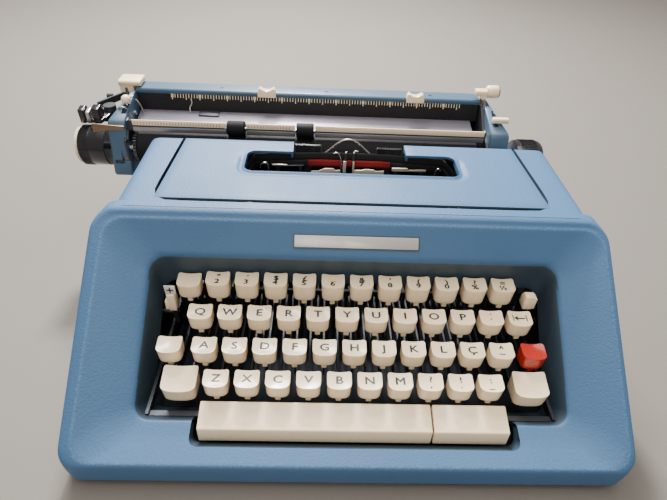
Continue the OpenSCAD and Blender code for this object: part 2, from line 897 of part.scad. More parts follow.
module touch_lever() {
  color([0.9, 0.84, 0.72]) {
    side(-122.4, -116.8, [[-61.5, 57], [-61.5, 72.5], [-56, 72.5], [-54, 58]]);
    side(-121, -118.4, [[-60, 60], [-56, 60], [-51, 47], [-59, 47]]);
    rod([-inner_face - frame_t, lever_pivot[0], lever_pivot[1]], 24, 1.5);
  }
}

module ribbon_colour_lever() {
  color([0.9, 0.84, 0.72]) {
    side(113.6, 121.4, [[-60.5, 69.5], [-60.5, 82.5], [-55.5, 82.5], [-53.5, 69.5]]);
    side(116, 118.6, [[-60, 70], [-54.5, 70], [-51, 47], [-59, 47]]);
    rod([inner_face + frame_t - 25.5, lever_pivot[0], lever_pivot[1]], 25.5, 1.5);
  }
}

// A dished cap with its front face at y and its lowest edge at z
module cap(x, y, z, w) {
  side(x - w / 2, x + w / 2, concat([[y + 0.8, z], [y - 0.2, z + cap_tall - 1]],
    arc([y + cap_deep / 2, z + cap_tall + dish_r - 0.4], dish_r, 270 - dish_half, 270 + dish_half, 8),
    [[y + cap_deep - 0.2, z + cap_tall - 0.6], [y + cap_deep, z + 2], [y + cap_deep - 1.4, z]]));
  box([x - 2, y + 1.2, z - 4], [x + 2, y + 4.2, z + 0.1]);
}

// A flat lever from the shaft to a riser under the cap at the given front face and height
module lever(x, y, z) {
  difference() {
    side(x - lever_t / 2, x + lever_t / 2, concat(
      arc([fulcrum_y, fulcrum_z], 5.5, -90, 90, 10),
      [[y + 12, 36], [y + 12, z], [y + 6, z], [y + 6, 28.5]]));
    rod([x - 5, fulcrum_y, fulcrum_z], 10, fulcrum_r + running_gap);
  }
}

module row_caps(row) {
  color([0.88, 0.8, 0.68])
    for (i = [0 : row_counts[row] - 1])
      cap(row_first_x[row] + i * key_pitch, row_y(row), row_z[row], cap_w);
}

module row_levers(row) {
  color([0.6, 0.61, 0.63])
    for (i = [0 : row_counts[row] - 1])
      lever(row_first_x[row] + i * key_pitch, row_y(row), row_z[row]);
}

module number_row_caps() {
  row_caps(0);
}

module upper_row_caps() {
  row_caps(1);
}

module home_row_caps() {
  row_caps(2);
}

module lower_row_caps() {
  row_caps(3);
}

module number_row_levers() {
  row_levers(0);
}

module upper_row_levers() {
  row_levers(1);
}

module home_row_levers() {
  row_levers(2);
}

module lower_row_levers() {
  row_levers(3);
}

// A key that has its own motion: the cap and its lever in one piece
module single_key(cap_x, lever_x, row) {
  cap(cap_x, row_y(row), row_z[row], cap_w);
  lever(lever_x, row_y(row), row_z[row] + 0.1);
}

// Both shift keys, joined behind the shaft so that they move as one
module shift_keys() {
  color([0.88, 0.8, 0.68]) {
    for (k = shift_places) {
      side(k[0] - 11, k[0] + 11, concat([[row_y(3) + 1, 33], [row_y(3) - 0.4, 42]],
        arc([row_y(3) + 8, 43 + dish_r], dish_r, 270 - dish_half, 270 + dish_half, 8),
        [[row_y(3) + 16.6, 46.4], [row_y(3) + 17, 36], [row_y(3) + 14, 33]]));
      lever(k[1], row_y(3), 33.1);
      box([k[1] - lever_t / 2, fulcrum_y + 5, fulcrum_z - 3], [k[1] + lever_t / 2, fulcrum_y + 20, fulcrum_z + 3]);
    }
    box([shift_places[0][1], fulcrum_y + 16, fulcrum_z - 2], [shift_places[1][1], fulcrum_y + 20, fulcrum_z + 2]);
  }
}

module shift_lock_key() {
  color([0.88, 0.8, 0.68])
    single_key(-115, -112.25, 2);
}

module tabulator_key() {
  color([0.8, 0.18, 0.12])
    single_key(120.4, 118.9, 2);
}

module backspace_key() {
  color([0.88, 0.8, 0.68])
    single_key(111, 111, 1);
}

module margin_release_key() {
  color([0.88, 0.8, 0.68])
    single_key(-107.5, -107.5, 0);
}

// A bar across the front with one arm back to the shaft
module bar_key(x0, x1, arm_x) {
  low = min(arm_x, x0);
  high = max(arm_x, x1);
  side(x0, x1, [[-133.5, 21], [-131.3, 34.4], [-115.8, 36.8], [-115.6, 33], [-116.2, 21], [-118, 21],
    [-118.6, 31], [-128.6, 30.4], [-130.6, 21]]);
  box([low, -121, 24], [high, -117.5, 28]);
  difference() {
    side(arm_x - 1, arm_x + 1, concat(arc([fulcrum_y, fulcrum_z], 5.5, -90, 90, 10),
      [[-117.5, 30], [-121, 30], [-121, 24]]));
    rod([arm_x - 5, fulcrum_y, fulcrum_z], 10, fulcrum_r + running_gap);
  }
}

module space_bar() {
  color([0.9, 0.83, 0.72])
    bar_key(-93, 49.8, -126);
}

module half_space_bar() {
  color([0.9, 0.83, 0.72])
    bar_key(50.8, 97.4, 129);
}

upper_shell();
base_pan();
rubber_feet();
base_screws();
name_plate();
side_frames();
carriage_rail();
key_fulcrum_shaft();
key_comb();
spool_cups();
ribbon();
bell();
card_holder();
ribbon_cover();
type_segment();
typebars();
type_guide();
centre_typebar();
ribbon_vibrator();
ribbon_spool_left();
ribbon_spool_right();
mainspring_drum();
escapement_wheel();
carriage_frame();
end_cap_left();
end_cap_right();
paper_support();
scale_strip();
paper_table();
platen();
platen_shaft();
knob_left();
knob_right();
paper_bail();
bail_rollers();
feed_rollers();
return_lever();
margin_stop_left();
margin_stop_right();
paper_release_lever();
carriage_release_left();
carriage_release_right();
line_space_selector();
touch_lever();
ribbon_colour_lever();
number_row_caps();
upper_row_caps();
home_row_caps();
lower_row_caps();
number_row_levers();
upper_row_levers();
home_row_levers();
lower_row_levers();
shift_keys();
shift_lock_key();
tabulator_key();
backspace_key();
margin_release_key();
space_bar();
half_space_bar();
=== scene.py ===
import bpy
import bmesh
from math import atan2, cos, pi, radians, sin, sqrt, tau
from mathutils import Matrix, Vector


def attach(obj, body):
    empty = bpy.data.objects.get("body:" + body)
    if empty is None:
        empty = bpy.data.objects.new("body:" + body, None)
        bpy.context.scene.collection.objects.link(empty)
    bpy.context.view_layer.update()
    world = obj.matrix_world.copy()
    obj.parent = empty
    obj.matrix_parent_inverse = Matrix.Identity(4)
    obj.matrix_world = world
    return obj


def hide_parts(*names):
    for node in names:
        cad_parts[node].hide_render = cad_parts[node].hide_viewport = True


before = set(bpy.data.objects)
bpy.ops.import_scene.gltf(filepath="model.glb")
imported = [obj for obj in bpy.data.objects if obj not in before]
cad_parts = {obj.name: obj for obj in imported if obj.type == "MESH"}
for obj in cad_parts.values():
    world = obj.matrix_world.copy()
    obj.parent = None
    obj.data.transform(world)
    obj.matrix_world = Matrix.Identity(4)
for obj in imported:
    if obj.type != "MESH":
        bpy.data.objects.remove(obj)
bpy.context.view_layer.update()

scene = bpy.context.scene

# The camera stands where the photograph was taken from, a little left of the middle,
# with a phone's wide lens, and looks down on the keys.
camera_place = Vector((-0.02331, -0.27838, 0.30433))
camera_down = radians(41.0)
camera_yaw = radians(-2.495)
camera_roll = radians(3.170)
focal_px = 480
frame_px = 667

camera_data = bpy.data.cameras.new("camera")
camera_data.sensor_width = 36
camera_data.lens = 36 * focal_px / frame_px
camera_data.clip_start = 0.01
camera = bpy.data.objects.new("camera", camera_data)
scene.collection.objects.link(camera)
camera.matrix_world = (Matrix.Translation(camera_place) @ Matrix.Rotation(camera_yaw, 4, "Z")
                       @ Matrix.Rotation(pi / 2 - camera_down, 4, "X")
                       @ Matrix.Rotation(camera_roll, 4, "Z"))
scene.camera = camera


# The studio: a small lamp high behind the machine, a wider one beside it at the left, a
# weak low one that the deck mirrors, a fill from the front, a wide ceiling and a warm world.
def area_lamp(name, place, target, size, watts, colour):
    lamp = bpy.data.lights.new(name, "AREA")
    lamp.shape = "RECTANGLE"
    lamp.size, lamp.size_y = size
    lamp.energy = watts
    lamp.color = colour
    holder = bpy.data.objects.new(name, lamp)
    holder.location = place
    holder.rotation_euler = (Vector(target) - Vector(place)).to_track_quat("-Z", "Y").to_euler()
    scene.collection.objects.link(holder)


area_lamp("main_lamp", (-0.12, 0.95, 1.06), (0, 0, 0.08), (0.16, 0.12), 52, (1.0, 0.97, 0.92))
area_lamp("side_lamp", (-0.32, 0.78, 1.25), (0, 0, 0.1), (0.5, 0.3), 26, (1.0, 0.97, 0.93))
area_lamp("deck_lamp", (-0.30, 1.02, 0.73), (-0.05, 0.02, 0.12), (0.5, 0.2), 2.0, (0.94, 0.96, 1.0))
area_lamp("front_fill", (-0.1, -1.1, 0.75), (0, 0, 0.05), (0.8, 0.6), 6, (1.0, 0.95, 0.88))
area_lamp("ceiling", (0, -0.1, 1.7), (0, 0, 0), (1.4, 1.4), 28, (1.0, 0.96, 0.9))

world = bpy.data.worlds.new("studio")
world.use_nodes = True
world.node_tree.nodes["Background"].inputs["Color"].default_value = (0.86, 0.80, 0.74, 1)
world.node_tree.nodes["Background"].inputs["Strength"].default_value = 0.36
scene.world = world


# Shader effects shared by most finishes, each a node group with its own sizes as inputs:
# the fine grain of a moulded or painted skin, and the soil of handling.
def new_group(name, inputs, outputs):
    group = bpy.data.node_groups.new(name, "ShaderNodeTree")
    for label, kind, value in inputs:
        group.interface.new_socket(label, in_out="INPUT", socket_type=kind).default_value = value
    for label, kind in outputs:
        group.interface.new_socket(label, in_out="OUTPUT", socket_type=kind)
    return group, group.nodes.new("NodeGroupInput").outputs, group.nodes.new("NodeGroupOutput").inputs


def add(tree, kind, values=(), links=(), **settings):
    """A node of a tree, with plain values and incoming links as (input, value or socket)."""
    made = tree.nodes.new(kind)
    for key, value in settings.items():
        setattr(made, key, value)
    for label, value in values:
        made.inputs[label].default_value = value
    for label, source in links:
        tree.links.new(source, made.inputs[label])
    return made.outputs


def grain_group():
    group, given, result = new_group(
        "Fine grain",
        [("Scale", "NodeSocketFloat", 900.0), ("Depth", "NodeSocketFloat", 0.3)],
        [("Normal", "NodeSocketVector")])
    place = add(group, "ShaderNodeTexCoord")["Object"]
    noise = add(group, "ShaderNodeTexNoise", [("Detail", 3)],
                [("Vector", place), ("Scale", given["Scale"])])
    bump = add(group, "ShaderNodeBump", [("Distance", 0.0002)],
               [("Strength", given["Depth"]), ("Height", noise["Fac"])])
    group.links.new(bump["Normal"], result["Normal"])
    return group


def soil_group():
    group, given, result = new_group("Handling soil",
                                     [("Clean", "NodeSocketColor", (0.5, 0.5, 0.5, 1)),
                                      ("Soiled", "NodeSocketColor", (0.3, 0.3, 0.3, 1)),
                                      ("Scale", "NodeSocketFloat", 20.0),
                                      ("Amount", "NodeSocketFloat", 0.5),
                                      ("Smooth", "NodeSocketFloat", 0.35),
                                      ("Dull", "NodeSocketFloat", 0.55)],
                                     [("Colour", "NodeSocketColor"), ("Roughness", "NodeSocketFloat")])
    place = add(group, "ShaderNodeTexCoord")["Object"]
    cloud = add(group, "ShaderNodeTexNoise", [("Detail", 6), ("Roughness", 0.62)],
                [("Vector", place), ("Scale", given["Scale"])])
    soiled = add(group, "ShaderNodeMapRange", [("From Min", 0.42), ("From Max", 0.72)],
                 [("Value", cloud["Fac"])])["Result"]
    share = add(group, "ShaderNodeMath", [], [(0, soiled), (1, given["Amount"])], operation="MULTIPLY")
    tint = add(group, "ShaderNodeMix", [],
               [("Factor", share[0]), (6, given["Clean"]), (7, given["Soiled"])], data_type="RGBA")
    rough = add(group, "ShaderNodeMix", [],
                [("Factor", soiled), (2, given["Smooth"]), (3, given["Dull"])])
    group.links.new(tint[2], result["Colour"])
    group.links.new(rough[0], result["Roughness"])
    return group


grain = grain_group()
soil = soil_group()


def finish(name, clean, soiled, smooth=0.35, dull=0.55, soil_scale=25.0, amount=0.5,
           grain_scale=900.0, grain_depth=0.25, metallic=0.0, coat=0.0, shine=0.5):
    """A material of its own from the two shared effects. Colours are linear."""
    material = bpy.data.materials.new(name)
    material.use_nodes = True
    tree = material.node_tree
    shader = tree.nodes["Principled BSDF"].inputs
    shader["Metallic"].default_value = metallic
    shader["Coat Weight"].default_value = coat
    shader["Specular IOR Level"].default_value = shine
    dirt = add(tree, "ShaderNodeGroup",
               [("Clean", (*clean, 1)), ("Soiled", (*soiled, 1)), ("Scale", soil_scale),
                ("Amount", amount), ("Smooth", smooth), ("Dull", dull)], node_tree=soil)
    relief = add(tree, "ShaderNodeGroup", [("Scale", grain_scale), ("Depth", grain_depth)],
                 node_tree=grain)
    tree.links.new(dirt["Colour"], shader["Base Color"])
    tree.links.new(dirt["Roughness"], shader["Roughness"])
    tree.links.new(relief["Normal"], shader["Normal"])
    return material


# The floor is a plain pale sheet of paper that the machine stands on, 8 m square so that no
# edge of it shows. It isn't part of the machine.
def placed(name, data):
    """A new object in the scene."""
    made = bpy.data.objects.new(name, data)
    scene.collection.objects.link(made)
    return made


floor_mesh = bpy.data.meshes.new("floor")
floor_mesh.from_pydata([(-4, -4, 0), (4, -4, 0), (4, 4, 0), (-4, 4, 0)], [], [(0, 1, 2, 3)])
floor_mesh.materials.append(finish("floor_paper", (0.155, 0.142, 0.127), (0.143, 0.131, 0.117),
                                   smooth=0.7, dull=0.8, soil_scale=3, grain_scale=400))
placed("floor", floor_mesh)


# Upper shell: the moulded body in light blue, with a fine orange-peel texture. The collar
# round the keys is a closed band of rings, each ring four corners and a radius; the deck
# and the tub behind it are their own skins, and all of it is one wall 2.4 mm thick.
lip_y, lip_z = -152, 24
slope = atan2(121.5 - lip_z, -33 - lip_y)
ring_edge_steps = 14
ring_arc_steps = 6
shell_front, shell_side = -151.98, 171.98


def mesh_object(name, points, faces, material=None, smooth=True):
    """A linked object from points in millimetres."""
    data = bpy.data.meshes.new(name)
    data.from_pydata([Vector(p) * 0.001 for p in points], [], faces)
    data.polygons.foreach_set("use_smooth", [smooth] * len(data.polygons))
    data.validate()
    if material:
        data.materials.append(material)
    return placed(name, data)


def on_slope(x, v, depth, taper):
    """A point on the front slope: v up the slope from the lip, depth square to it."""
    x = x * (1 + taper * (78 - v))
    return Vector((x, lip_y + v * cos(slope) - depth * sin(slope),
                   lip_z + v * sin(slope) + depth * cos(slope)))


def ring(corners, radius, rear=None):
    """Points round four corners, front left first. rear is the back edge's own y and z."""
    points = []
    for i in range(4):
        corner = corners[i]
        before = corner + (corners[i - 1] - corner).normalized() * radius
        after = corner + (corners[(i + 1) % 4] - corner).normalized() * radius
        if rear and i == 2:
            after = Vector((after.x, *rear))
        if rear and i == 3:
            before = Vector((before.x, *rear))
        for k in range(ring_arc_steps + 1):
            a = k / ring_arc_steps * pi / 2
            points.append(corner + (before - corner) * (1 - sin(a)) + (after - corner) * (1 - cos(a)))
        following = corners[(i + 1) % 4]
        start = following + (corner - following).normalized() * radius
        if rear and i == 2:
            start = Vector((start.x, *rear))
        for k in range(1, ring_edge_steps):
            points.append(after.lerp(start, k / ring_edge_steps))
    return points


def slope_ring(left, right, v0, v1, radius, depth, rear_depth=None, taper=2.8e-4):
    rear = depth if rear_depth is None else rear_depth
    return ring([on_slope(left, v0, depth, taper), on_slope(right, v0, depth, taper),
                 on_slope(right, v1, rear, taper), on_slope(left, v1, rear, taper)], radius)


def level_ring(left, right, y0, y1, z, radius):
    return ring([Vector((left, y0, z)), Vector((right, y0, z)), Vector((right, y1, z)),
                 Vector((left, y1, z))], radius)


def grid_faces(rows, n, closed=False):
    """Quads between rows of n points each, also from the last point to the first where closed."""
    return [(a * n + k, a * n + (k + 1) % n, (a + 1) * n + (k + 1) % n, (a + 1) * n + k)
            for a in range(rows - 1) for k in range(n if closed else n - 1)]


def skin(rings):
    """Points and faces of a tube through the rings."""
    return [p for r in rings for p in r], grid_faces(len(rings), len(rings[0]), closed=True)


def outer_ring(front, back, left, right, radius, rear):
    """A ring outside the ridge: front and back are (y, z), left and right (x in front, x at the back)."""
    return ring([Vector((left[0], *front)), Vector((right[0], *front)), Vector((right[1], *back)),
                 Vector((left[1], *back))], radius, rear)


collar_rings = [
    slope_ring(-127.6, 131.2, 28.2, 112.7, 8, -38, -32.9),
    slope_ring(-128.8, 132.4, 26.6, 118.6, 8.3, -22, -24.8),
    slope_ring(-129.4, 133.0, 25.8, 121.9, 8.6, -15, -18.5),
    slope_ring(-129.9, 133.5, 25.2, 123.5, 9, -11.6, -13.3),
    slope_ring(-130.8, 134.3, 24.5, 124.5, 9.4, -10.0, -9.9),
    slope_ring(-132.4, 135.9, 23.4, 125.4, 10, -9.3, -7.7),
    slope_ring(-139.2, 142.6, 17.9, 127.3, 13, -7.0, -6.3),
    slope_ring(-141.4, 144.8, 16.2, 129.4, 14, -6.3, -5.6),
    slope_ring(-150.0, 153.2, 9.8, 137.2, 16, -3.4, -3.2),
    slope_ring(-157.9, 161.0, 3.9, 144.9, 14, -0.75, -0.75),
    slope_ring(-159.6, 162.7, 2.6, 146.7, 13, -0.15, -0.15),
    slope_ring(-161.0, 164.2, 1.6, 148.2, 12.5, -0.05, -0.05),
    slope_ring(-163.6, 166.6, 0.5, 149.8, 12, -0.35, -0.3),
    outer_ring((-151.7, 23.2), (-35.4, 119.6), (-170.6, -164.4), (171.6, 163.4), 12, (-34.4, 121.0)),
    outer_ring((shell_front, 20.5), (-33, 118), (-171.8, -166.8), (172, 165.6), 12, (-31.2, 121.9)),
    outer_ring((shell_front, 16), (-28, 110), (-shell_side, -168.4), (shell_side, 167.8), 12,
               (-26, 122)),
    outer_ring((shell_front, 12), (-22.8, 94), (-shell_side, -169.8), (shell_side, 169.6), 12,
               (-22, 121.8)),
    outer_ring((shell_front, 9), (-22, 40), (-shell_side, -171), (shell_side, 171), 12, (-21.4, 60)),
    level_ring(-shell_side, shell_side, shell_front, -22, 8, 12)]
points, faces = skin(collar_rings)
collar = mesh_object("upper_shell_skin", points, faces)


def edit(piece, change):
    """Opens a piece's mesh, changes it and puts it back."""
    work = bmesh.new()
    work.from_mesh(piece.data)
    change(work)
    work.to_mesh(piece.data)
    work.free()


def drop_faces(work, unwanted):
    gone = [f for f in work.faces if unwanted(f.calc_center_median() * 1000)]
    bmesh.ops.delete(work, geom=gone, context="FACES")


# The collar is open below the deck, and at the hole for the ribbon cover
edit(collar, lambda work: drop_faces(work, lambda c: c.y > -26 and abs(c.x) < 152 and c.z < 121.7))
edit(collar, lambda work: drop_faces(work, lambda c: c.y > -24.2 and abs(c.x) < 129 and c.z > 118))

# The deck's cross-section, from the foot of one side over the top to the other
deck_front, deck_back, deck_top = -31, 58.6, 121.95
hole_x, hole_y = 129.1, -24.3
deck_side = [(162.6, 60), (160.6, 76), (158.2, 92), (155.9, 108), (155.2, 113.5), (154.4, 117.2),
             (152.6, 119.9), (149.9, 121.5), (146.5, deck_top), (138, deck_top), (hole_x, deck_top),
             (110, deck_top), (77, deck_top), (40, deck_top), (0, deck_top)]
deck_line = [(-x, z) for x, z in deck_side] + [(x, z) for x, z in reversed(deck_side[:-1])]
deck_steps = [deck_front, hole_y, 0, 20, 40, 52, 56.2, 58.1, deck_back, deck_back, 58.1]
deck_fall = [0, 0, 0, 0, 0, 0, 0, 0.25, 1.1, 5.6, 6.0]
points = [(x, y, z - fall) for y, fall in zip(deck_steps, deck_fall) for x, z in deck_line]
deck = mesh_object("deck", points, grid_faces(len(deck_steps), len(deck_line)))
edit(deck, lambda work: drop_faces(work, lambda c: abs(c.x) < hole_x and hole_y < c.y and c.z > 100))
cover_back, flare_share, flare_run = 57.6, 0.029, 80


def flare(y):
    """How much wider the cover is at y than at its back edge."""
    return 1 + flare_share * (cover_back - y) / flare_run


for corner in deck.data.vertices:
    x, y, z = corner.co * 1000
    if z > 121.5 and abs(x) < hole_x + 0.3 and hole_y - 0.3 < y < 57:
        corner.co.x *= flare(y)

tub_rings = [
    level_ring(-166, 166, 0, 151.95, 8, 12),
    level_ring(-164.4, 164.4, 0, 151.95, 40, 12),
    level_ring(-162.4, 162.4, 0, 151.9, 71.5, 12),
    level_ring(-161.9, 161.9, 0, 151.5, 74.2, 11.6),
    level_ring(-160.6, 160.6, 0, 150.4, 75.7, 10.6),
    level_ring(-158, 158, 0, 148, 76, 9),
    level_ring(-152, 152, 0, 138.5, 76, 7),
    level_ring(-150.5, 150.5, 0, 136.9, 75.6, 6),
    level_ring(-150, 150, 0, 136.2, 74.2, 6),
    level_ring(-150, 150, 0, 136, 66, 6)]
points, faces = skin(tub_rings)
tub = mesh_object("tub", points, faces)
edit(tub, lambda work: drop_faces(work, lambda c: c.y < 52 and not (c.y > 0.5 and abs(c.x) > 150)))


def modifier(piece, kind, **settings):
    """A modifier on a piece, with its settings."""
    made = piece.modifiers.new(kind.title(), kind)
    for key, value in settings.items():
        setattr(made, key, value)
    return made


def plain_mesh(item):
    """The mesh that an object's text, curve or modifiers give."""
    return bpy.data.meshes.new_from_object(item.evaluated_get(bpy.context.evaluated_depsgraph_get()))


def apply_modifiers(piece):
    """Turns a piece and its modifiers into a plain mesh."""
    whole = plain_mesh(piece)
    piece.modifiers.clear()
    piece.data = whole
    return piece


def join(name, pieces):
    """One piece from several meshes that share a frame."""
    work = bmesh.new()
    materials = []
    for piece in pieces:
        start = len(work.faces)
        work.from_mesh(piece.data)
        work.faces.ensure_lookup_table()
        for face in work.faces[start:]:
            own = piece.data.materials[face.material_index] if piece.data.materials else None
            if own not in materials:
                materials.append(own)
            face.material_index = materials.index(own)
    data = bpy.data.meshes.new(name)
    work.to_mesh(data)
    work.free()
    for own in materials:
        if own:
            data.materials.append(own)
    for piece in pieces:
        bpy.data.objects.remove(piece)
    return placed(name, data)


def recalc(piece):
    """Turns a closed piece's faces outwards."""
    edit(piece, lambda work: bmesh.ops.recalc_face_normals(work, faces=work.faces))


def crisp(piece, angle=32):
    """Smooth shading with sharp edges past an angle in degrees."""
    piece.data.polygons.foreach_set("use_smooth", [True] * len(piece.data.polygons))
    piece.data.set_sharp_from_angle(angle=radians(angle))
    return piece


def wall(piece, thickness):
    """Gives a skin its thickness, in metres, on the inner side."""
    modifier(piece, "SOLIDIFY", thickness=thickness, offset=-1, use_even_offset=False)
    return apply_modifiers(piece)


shell_blue = finish("shell_enamel", (0.052, 0.125, 0.245), (0.042, 0.102, 0.20), smooth=0.5, dull=0.6,
                    soil_scale=9, amount=0.45, grain_scale=760, grain_depth=1.0, shine=0.3)
# The dark finish is painted shade: the shell's blue as it looks in deep shadow, for the well's walls and
# the faces underneath
well_painted_shade = finish("well_painted_shade", (0.030, 0.055, 0.080), (0.035, 0.062, 0.09), smooth=0.6, dull=0.8,
                   soil_scale=14, grain_scale=900, grain_depth=0.2)
for part, levels in ((collar, 2), (deck, 1), (tub, 1)):
    recalc(part)
    modifier(part, "SUBSURF", levels=levels, render_levels=levels)
    apply_modifiers(part)
    wall(part, 0.0024)
    part.data.materials.append(shell_blue)
    part.data.materials.append(well_painted_shade)


def worn_and_highlit_ridge():
    """Lighter flecks along the collar's ridge, from an attribute: partly enamel rubbed off, partly a
    painted highlight on the ridge's rounded top.
    """
    tree = shell_blue.node_tree
    base = tree.nodes["Principled BSDF"].inputs["Base Color"]
    rubbed_and_highlit = add(tree, "ShaderNodeAttribute", attribute_name="rubbed_and_highlit")["Fac"]
    place = add(tree, "ShaderNodeTexCoord")["Object"]
    speckle = add(tree, "ShaderNodeTexNoise", [("Scale", 850), ("Detail", 5), ("Roughness", 0.7)],
                  [("Vector", place)])["Fac"]
    total = add(tree, "ShaderNodeMath", [], [(0, speckle), (1, rubbed_and_highlit)], operation="MULTIPLY")
    edge = add(tree, "ShaderNodeMapRange", [("From Min", 0.40), ("From Max", 0.62)],
               [("Value", total[0])])
    blend = add(tree, "ShaderNodeMix", data_type="RGBA", links=[("Factor", edge["Result"]),
                                                                (6, base.links[0].from_socket)],
                values=[(7, (0.085, 0.18, 0.315, 1))])
    tree.links.new(blend[2], base)


worn_and_highlit_ridge()


def prism(name, outline, low, high, place=None, material=None):
    """A closed solid of an outline in millimetres between two heights, then put in place."""
    n = len(outline)
    points = [Vector((x, y, z)) for z in (low, high) for x, y in outline]
    if place:
        points = [place @ p for p in points]
    faces = [tuple(range(n))[::-1], tuple(range(n, 2 * n))]
    faces += [(k, (k + 1) % n, n + (k + 1) % n, n + k) for k in range(n)]
    made = mesh_object(name, points, faces, material, smooth=False)
    recalc(made)
    return made


def round_outline(x0, y0, x1, y1, radius, steps=6):
    """A rectangle with round corners, as points."""
    middles = [(x1 - radius, y1 - radius, 0), (x0 + radius, y1 - radius, 1),
               (x0 + radius, y0 + radius, 2), (x1 - radius, y0 + radius, 3)]
    return [(x + radius * cos((q + k / steps) * pi / 2), y + radius * sin((q + k / steps) * pi / 2))
            for x, y, q in middles for k in range(steps + 1)]


def cut(piece, tools, solver="EXACT"):
    """Takes the tools away from a piece."""
    for tool in tools:
        modifier(piece, "BOOLEAN", object=tool, operation="DIFFERENCE", solver=solver, use_self=True)
    apply_modifiers(piece)
    for tool in tools:
        bpy.data.objects.remove(tool)
    return piece


slope_place = Matrix.Translation((0, lip_y, lip_z)) @ Matrix.Rotation(slope, 4, "X")
notch_left, notch_right, notch_top = -97, 103, 25
notch_outline = round_outline(notch_left, 11, notch_right, 60, 5)
cut(collar, [prism("notch_tool", notch_outline, -60, 20, slope_place)], "FAST")
lip_fall = [(3.9, -0.75), (9.8, -3.4), (17.9, -7.0), (24.5, -10.0), (25.6, -12.2)]


def fall_at(v):
    """Depth of the recess's front bank at v, between the points of its section."""
    for (v0, d0), (v1, d1) in zip(lip_fall, lip_fall[1:]):
        if v <= v1:
            return d0 + (d1 - d0) * (v - v0) / (v1 - v0)
    return lip_fall[-1][1]


# The notch in front of the space bars has a wall of its own that runs down from the bank, in the dark
# finish of painted shade
around = [p for p in notch_outline[14:] if p[1] < notch_top]
around = [(notch_left, notch_top)] + around + [(notch_right, notch_top)]
outer = []
for k, (x, v) in enumerate(around):
    before, after = around[max(k - 1, 0)], around[min(k + 1, len(around) - 1)]
    along = Vector((after[0] - before[0], after[1] - before[1])).normalized()
    outer.append((x + along.y * 2, v - along.x * 2))
points = []
for line in (around, outer):
    points += [slope_place @ Vector((x, v, fall_at(v) - 1.0)) for x, v in line]
    points += [slope_place @ Vector((x, v, -17)) for x, v in line]
n = len(around)
faces = []
for k in range(n - 1):
    faces += [(k, k + 1, n + k + 1, n + k), (2 * n + k, 2 * n + k + 1, 3 * n + k + 1, 3 * n + k),
              (k, k + 1, 2 * n + k + 1, 2 * n + k), (n + k, n + k + 1, 3 * n + k + 1, 3 * n + k)]
faces += [(0, n, 3 * n, 2 * n), (n - 1, 2 * n - 1, 4 * n - 1, 3 * n - 1)]
notch_wall = mesh_object("notch_wall", points, faces, well_painted_shade)
recalc(notch_wall)
upper_shell = join("upper_shell_skin", [collar, deck, tub, notch_wall])


def slope_place_of(point):
    """Where a point in metres lies on the slope: v up it and depth square to it, in millimetres."""
    y, z = point.y * 1000 - lip_y, point.z * 1000 - lip_z
    return y * cos(slope) + z * sin(slope), z * cos(slope) - y * sin(slope)


def hump(t):
    """A smooth hump of height 1 about t = 0."""
    return 2.718 ** -(t ** 2)


# Faces inside the well and under the skin get the dark finish: painted shade where the blue plastic lies
# in shadow
ridge_middle, ridge_half, ridge_radius = (1.6, 74.9), (162.3, 73.0), 12.5
well_middle, well_half = 1.8, 135
for face in upper_shell.data.polygons:
    v, depth = slope_place_of(face.center)
    inside = abs(face.center.x * 1000 - well_middle) < well_half and 22 < v < 125.4
    inside = inside and depth < (-10.8 if v < 110 else -9.6)
    under = face.normal.z < -0.5 and face.center.z > 0.012
    if inside or under:
        face.material_index = 1
# The band along the ridge that carries the flecks: partly rubbed enamel, partly a painted highlight
rubbed_and_highlit = upper_shell.data.attributes.new("rubbed_and_highlit", "FLOAT", "POINT")
for corner, place in zip(upper_shell.data.vertices, rubbed_and_highlit.data):
    v, depth = slope_place_of(corner.co)
    x = corner.co.x * 1000 / (1 + 2.8e-4 * (78 - v)) - ridge_middle[0]
    away = Vector((max(abs(x) - ridge_half[0] + ridge_radius, 0),
                   max(abs(v - ridge_middle[1]) - ridge_half[1] + ridge_radius, 0)))
    place.value = hump((away.length - ridge_radius) / 2.3) if depth > -3 else 0.0
crisp(upper_shell, 40)


def darken_gap(piece, gap_x, gap_y):
    """The upright faces in the gap round the cover never see the light, so they get the dark finish as
    painted shade.
    """
    for face in piece.data.polygons:
        x, y, z = face.center * 1000
        near = z > 118 and abs(x) < 133.5 and -25 < y < 57
        if near and abs(face.normal.z) < 0.6 and (abs(x) > gap_x or y < gap_y):
            face.material_index = 1


darken_gap(upper_shell, 126, -23.5)


def done(piece, body, slot, *replaced):
    """Fixes a finished piece to its body and hides the CAD parts that it replaces."""
    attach(piece, body)
    if replaced:
        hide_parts(*replaced)
    return piece


done(upper_shell, "machine", "shell_blue", "upper_shell")


# Name plate: a thin satin plate with a dark edge, glued to the recess's rear wall. It is bare.
def soften(piece, width, segments=2, angle=30):
    """Small round edges, then smooth shading between them."""
    modifier(piece, "BEVEL", width=width * 0.001, segments=segments, limit_method="ANGLE",
             angle_limit=radians(angle), harden_normals=False)
    apply_modifiers(piece)
    return crisp(piece, 40)


plate_silver = finish("name_plate_satin", (0.50, 0.49, 0.48), (0.40, 0.39, 0.38), smooth=0.32, dull=0.5,
                      soil_scale=60, grain_scale=2600, grain_depth=0.15, metallic=0.35)
plate_edge = finish("name_plate_edge", (0.03, 0.03, 0.035), (0.05, 0.05, 0.05), soil_scale=60)
wall_tilt = atan2(6.3, 22)
plate_place = slope_place @ Matrix.Translation((1.4, 136.2, -3.3)) @ Matrix.Rotation(wall_tilt, 4, "X")
backing = prism("backing", round_outline(-40.4, -4.5, 40.4, 4.5, 0.8), -0.6, 0.35, plate_place,
                plate_edge)
face_plate = prism("face_plate", round_outline(-39.6, -3.8, 39.6, 3.8, 0.5), 0, 0.7, plate_place,
                   plate_silver)
soften(face_plate, 0.15)
done(join("name_plate_bare", [backing, face_plate]), "machine", "plate_silver", "name_plate")


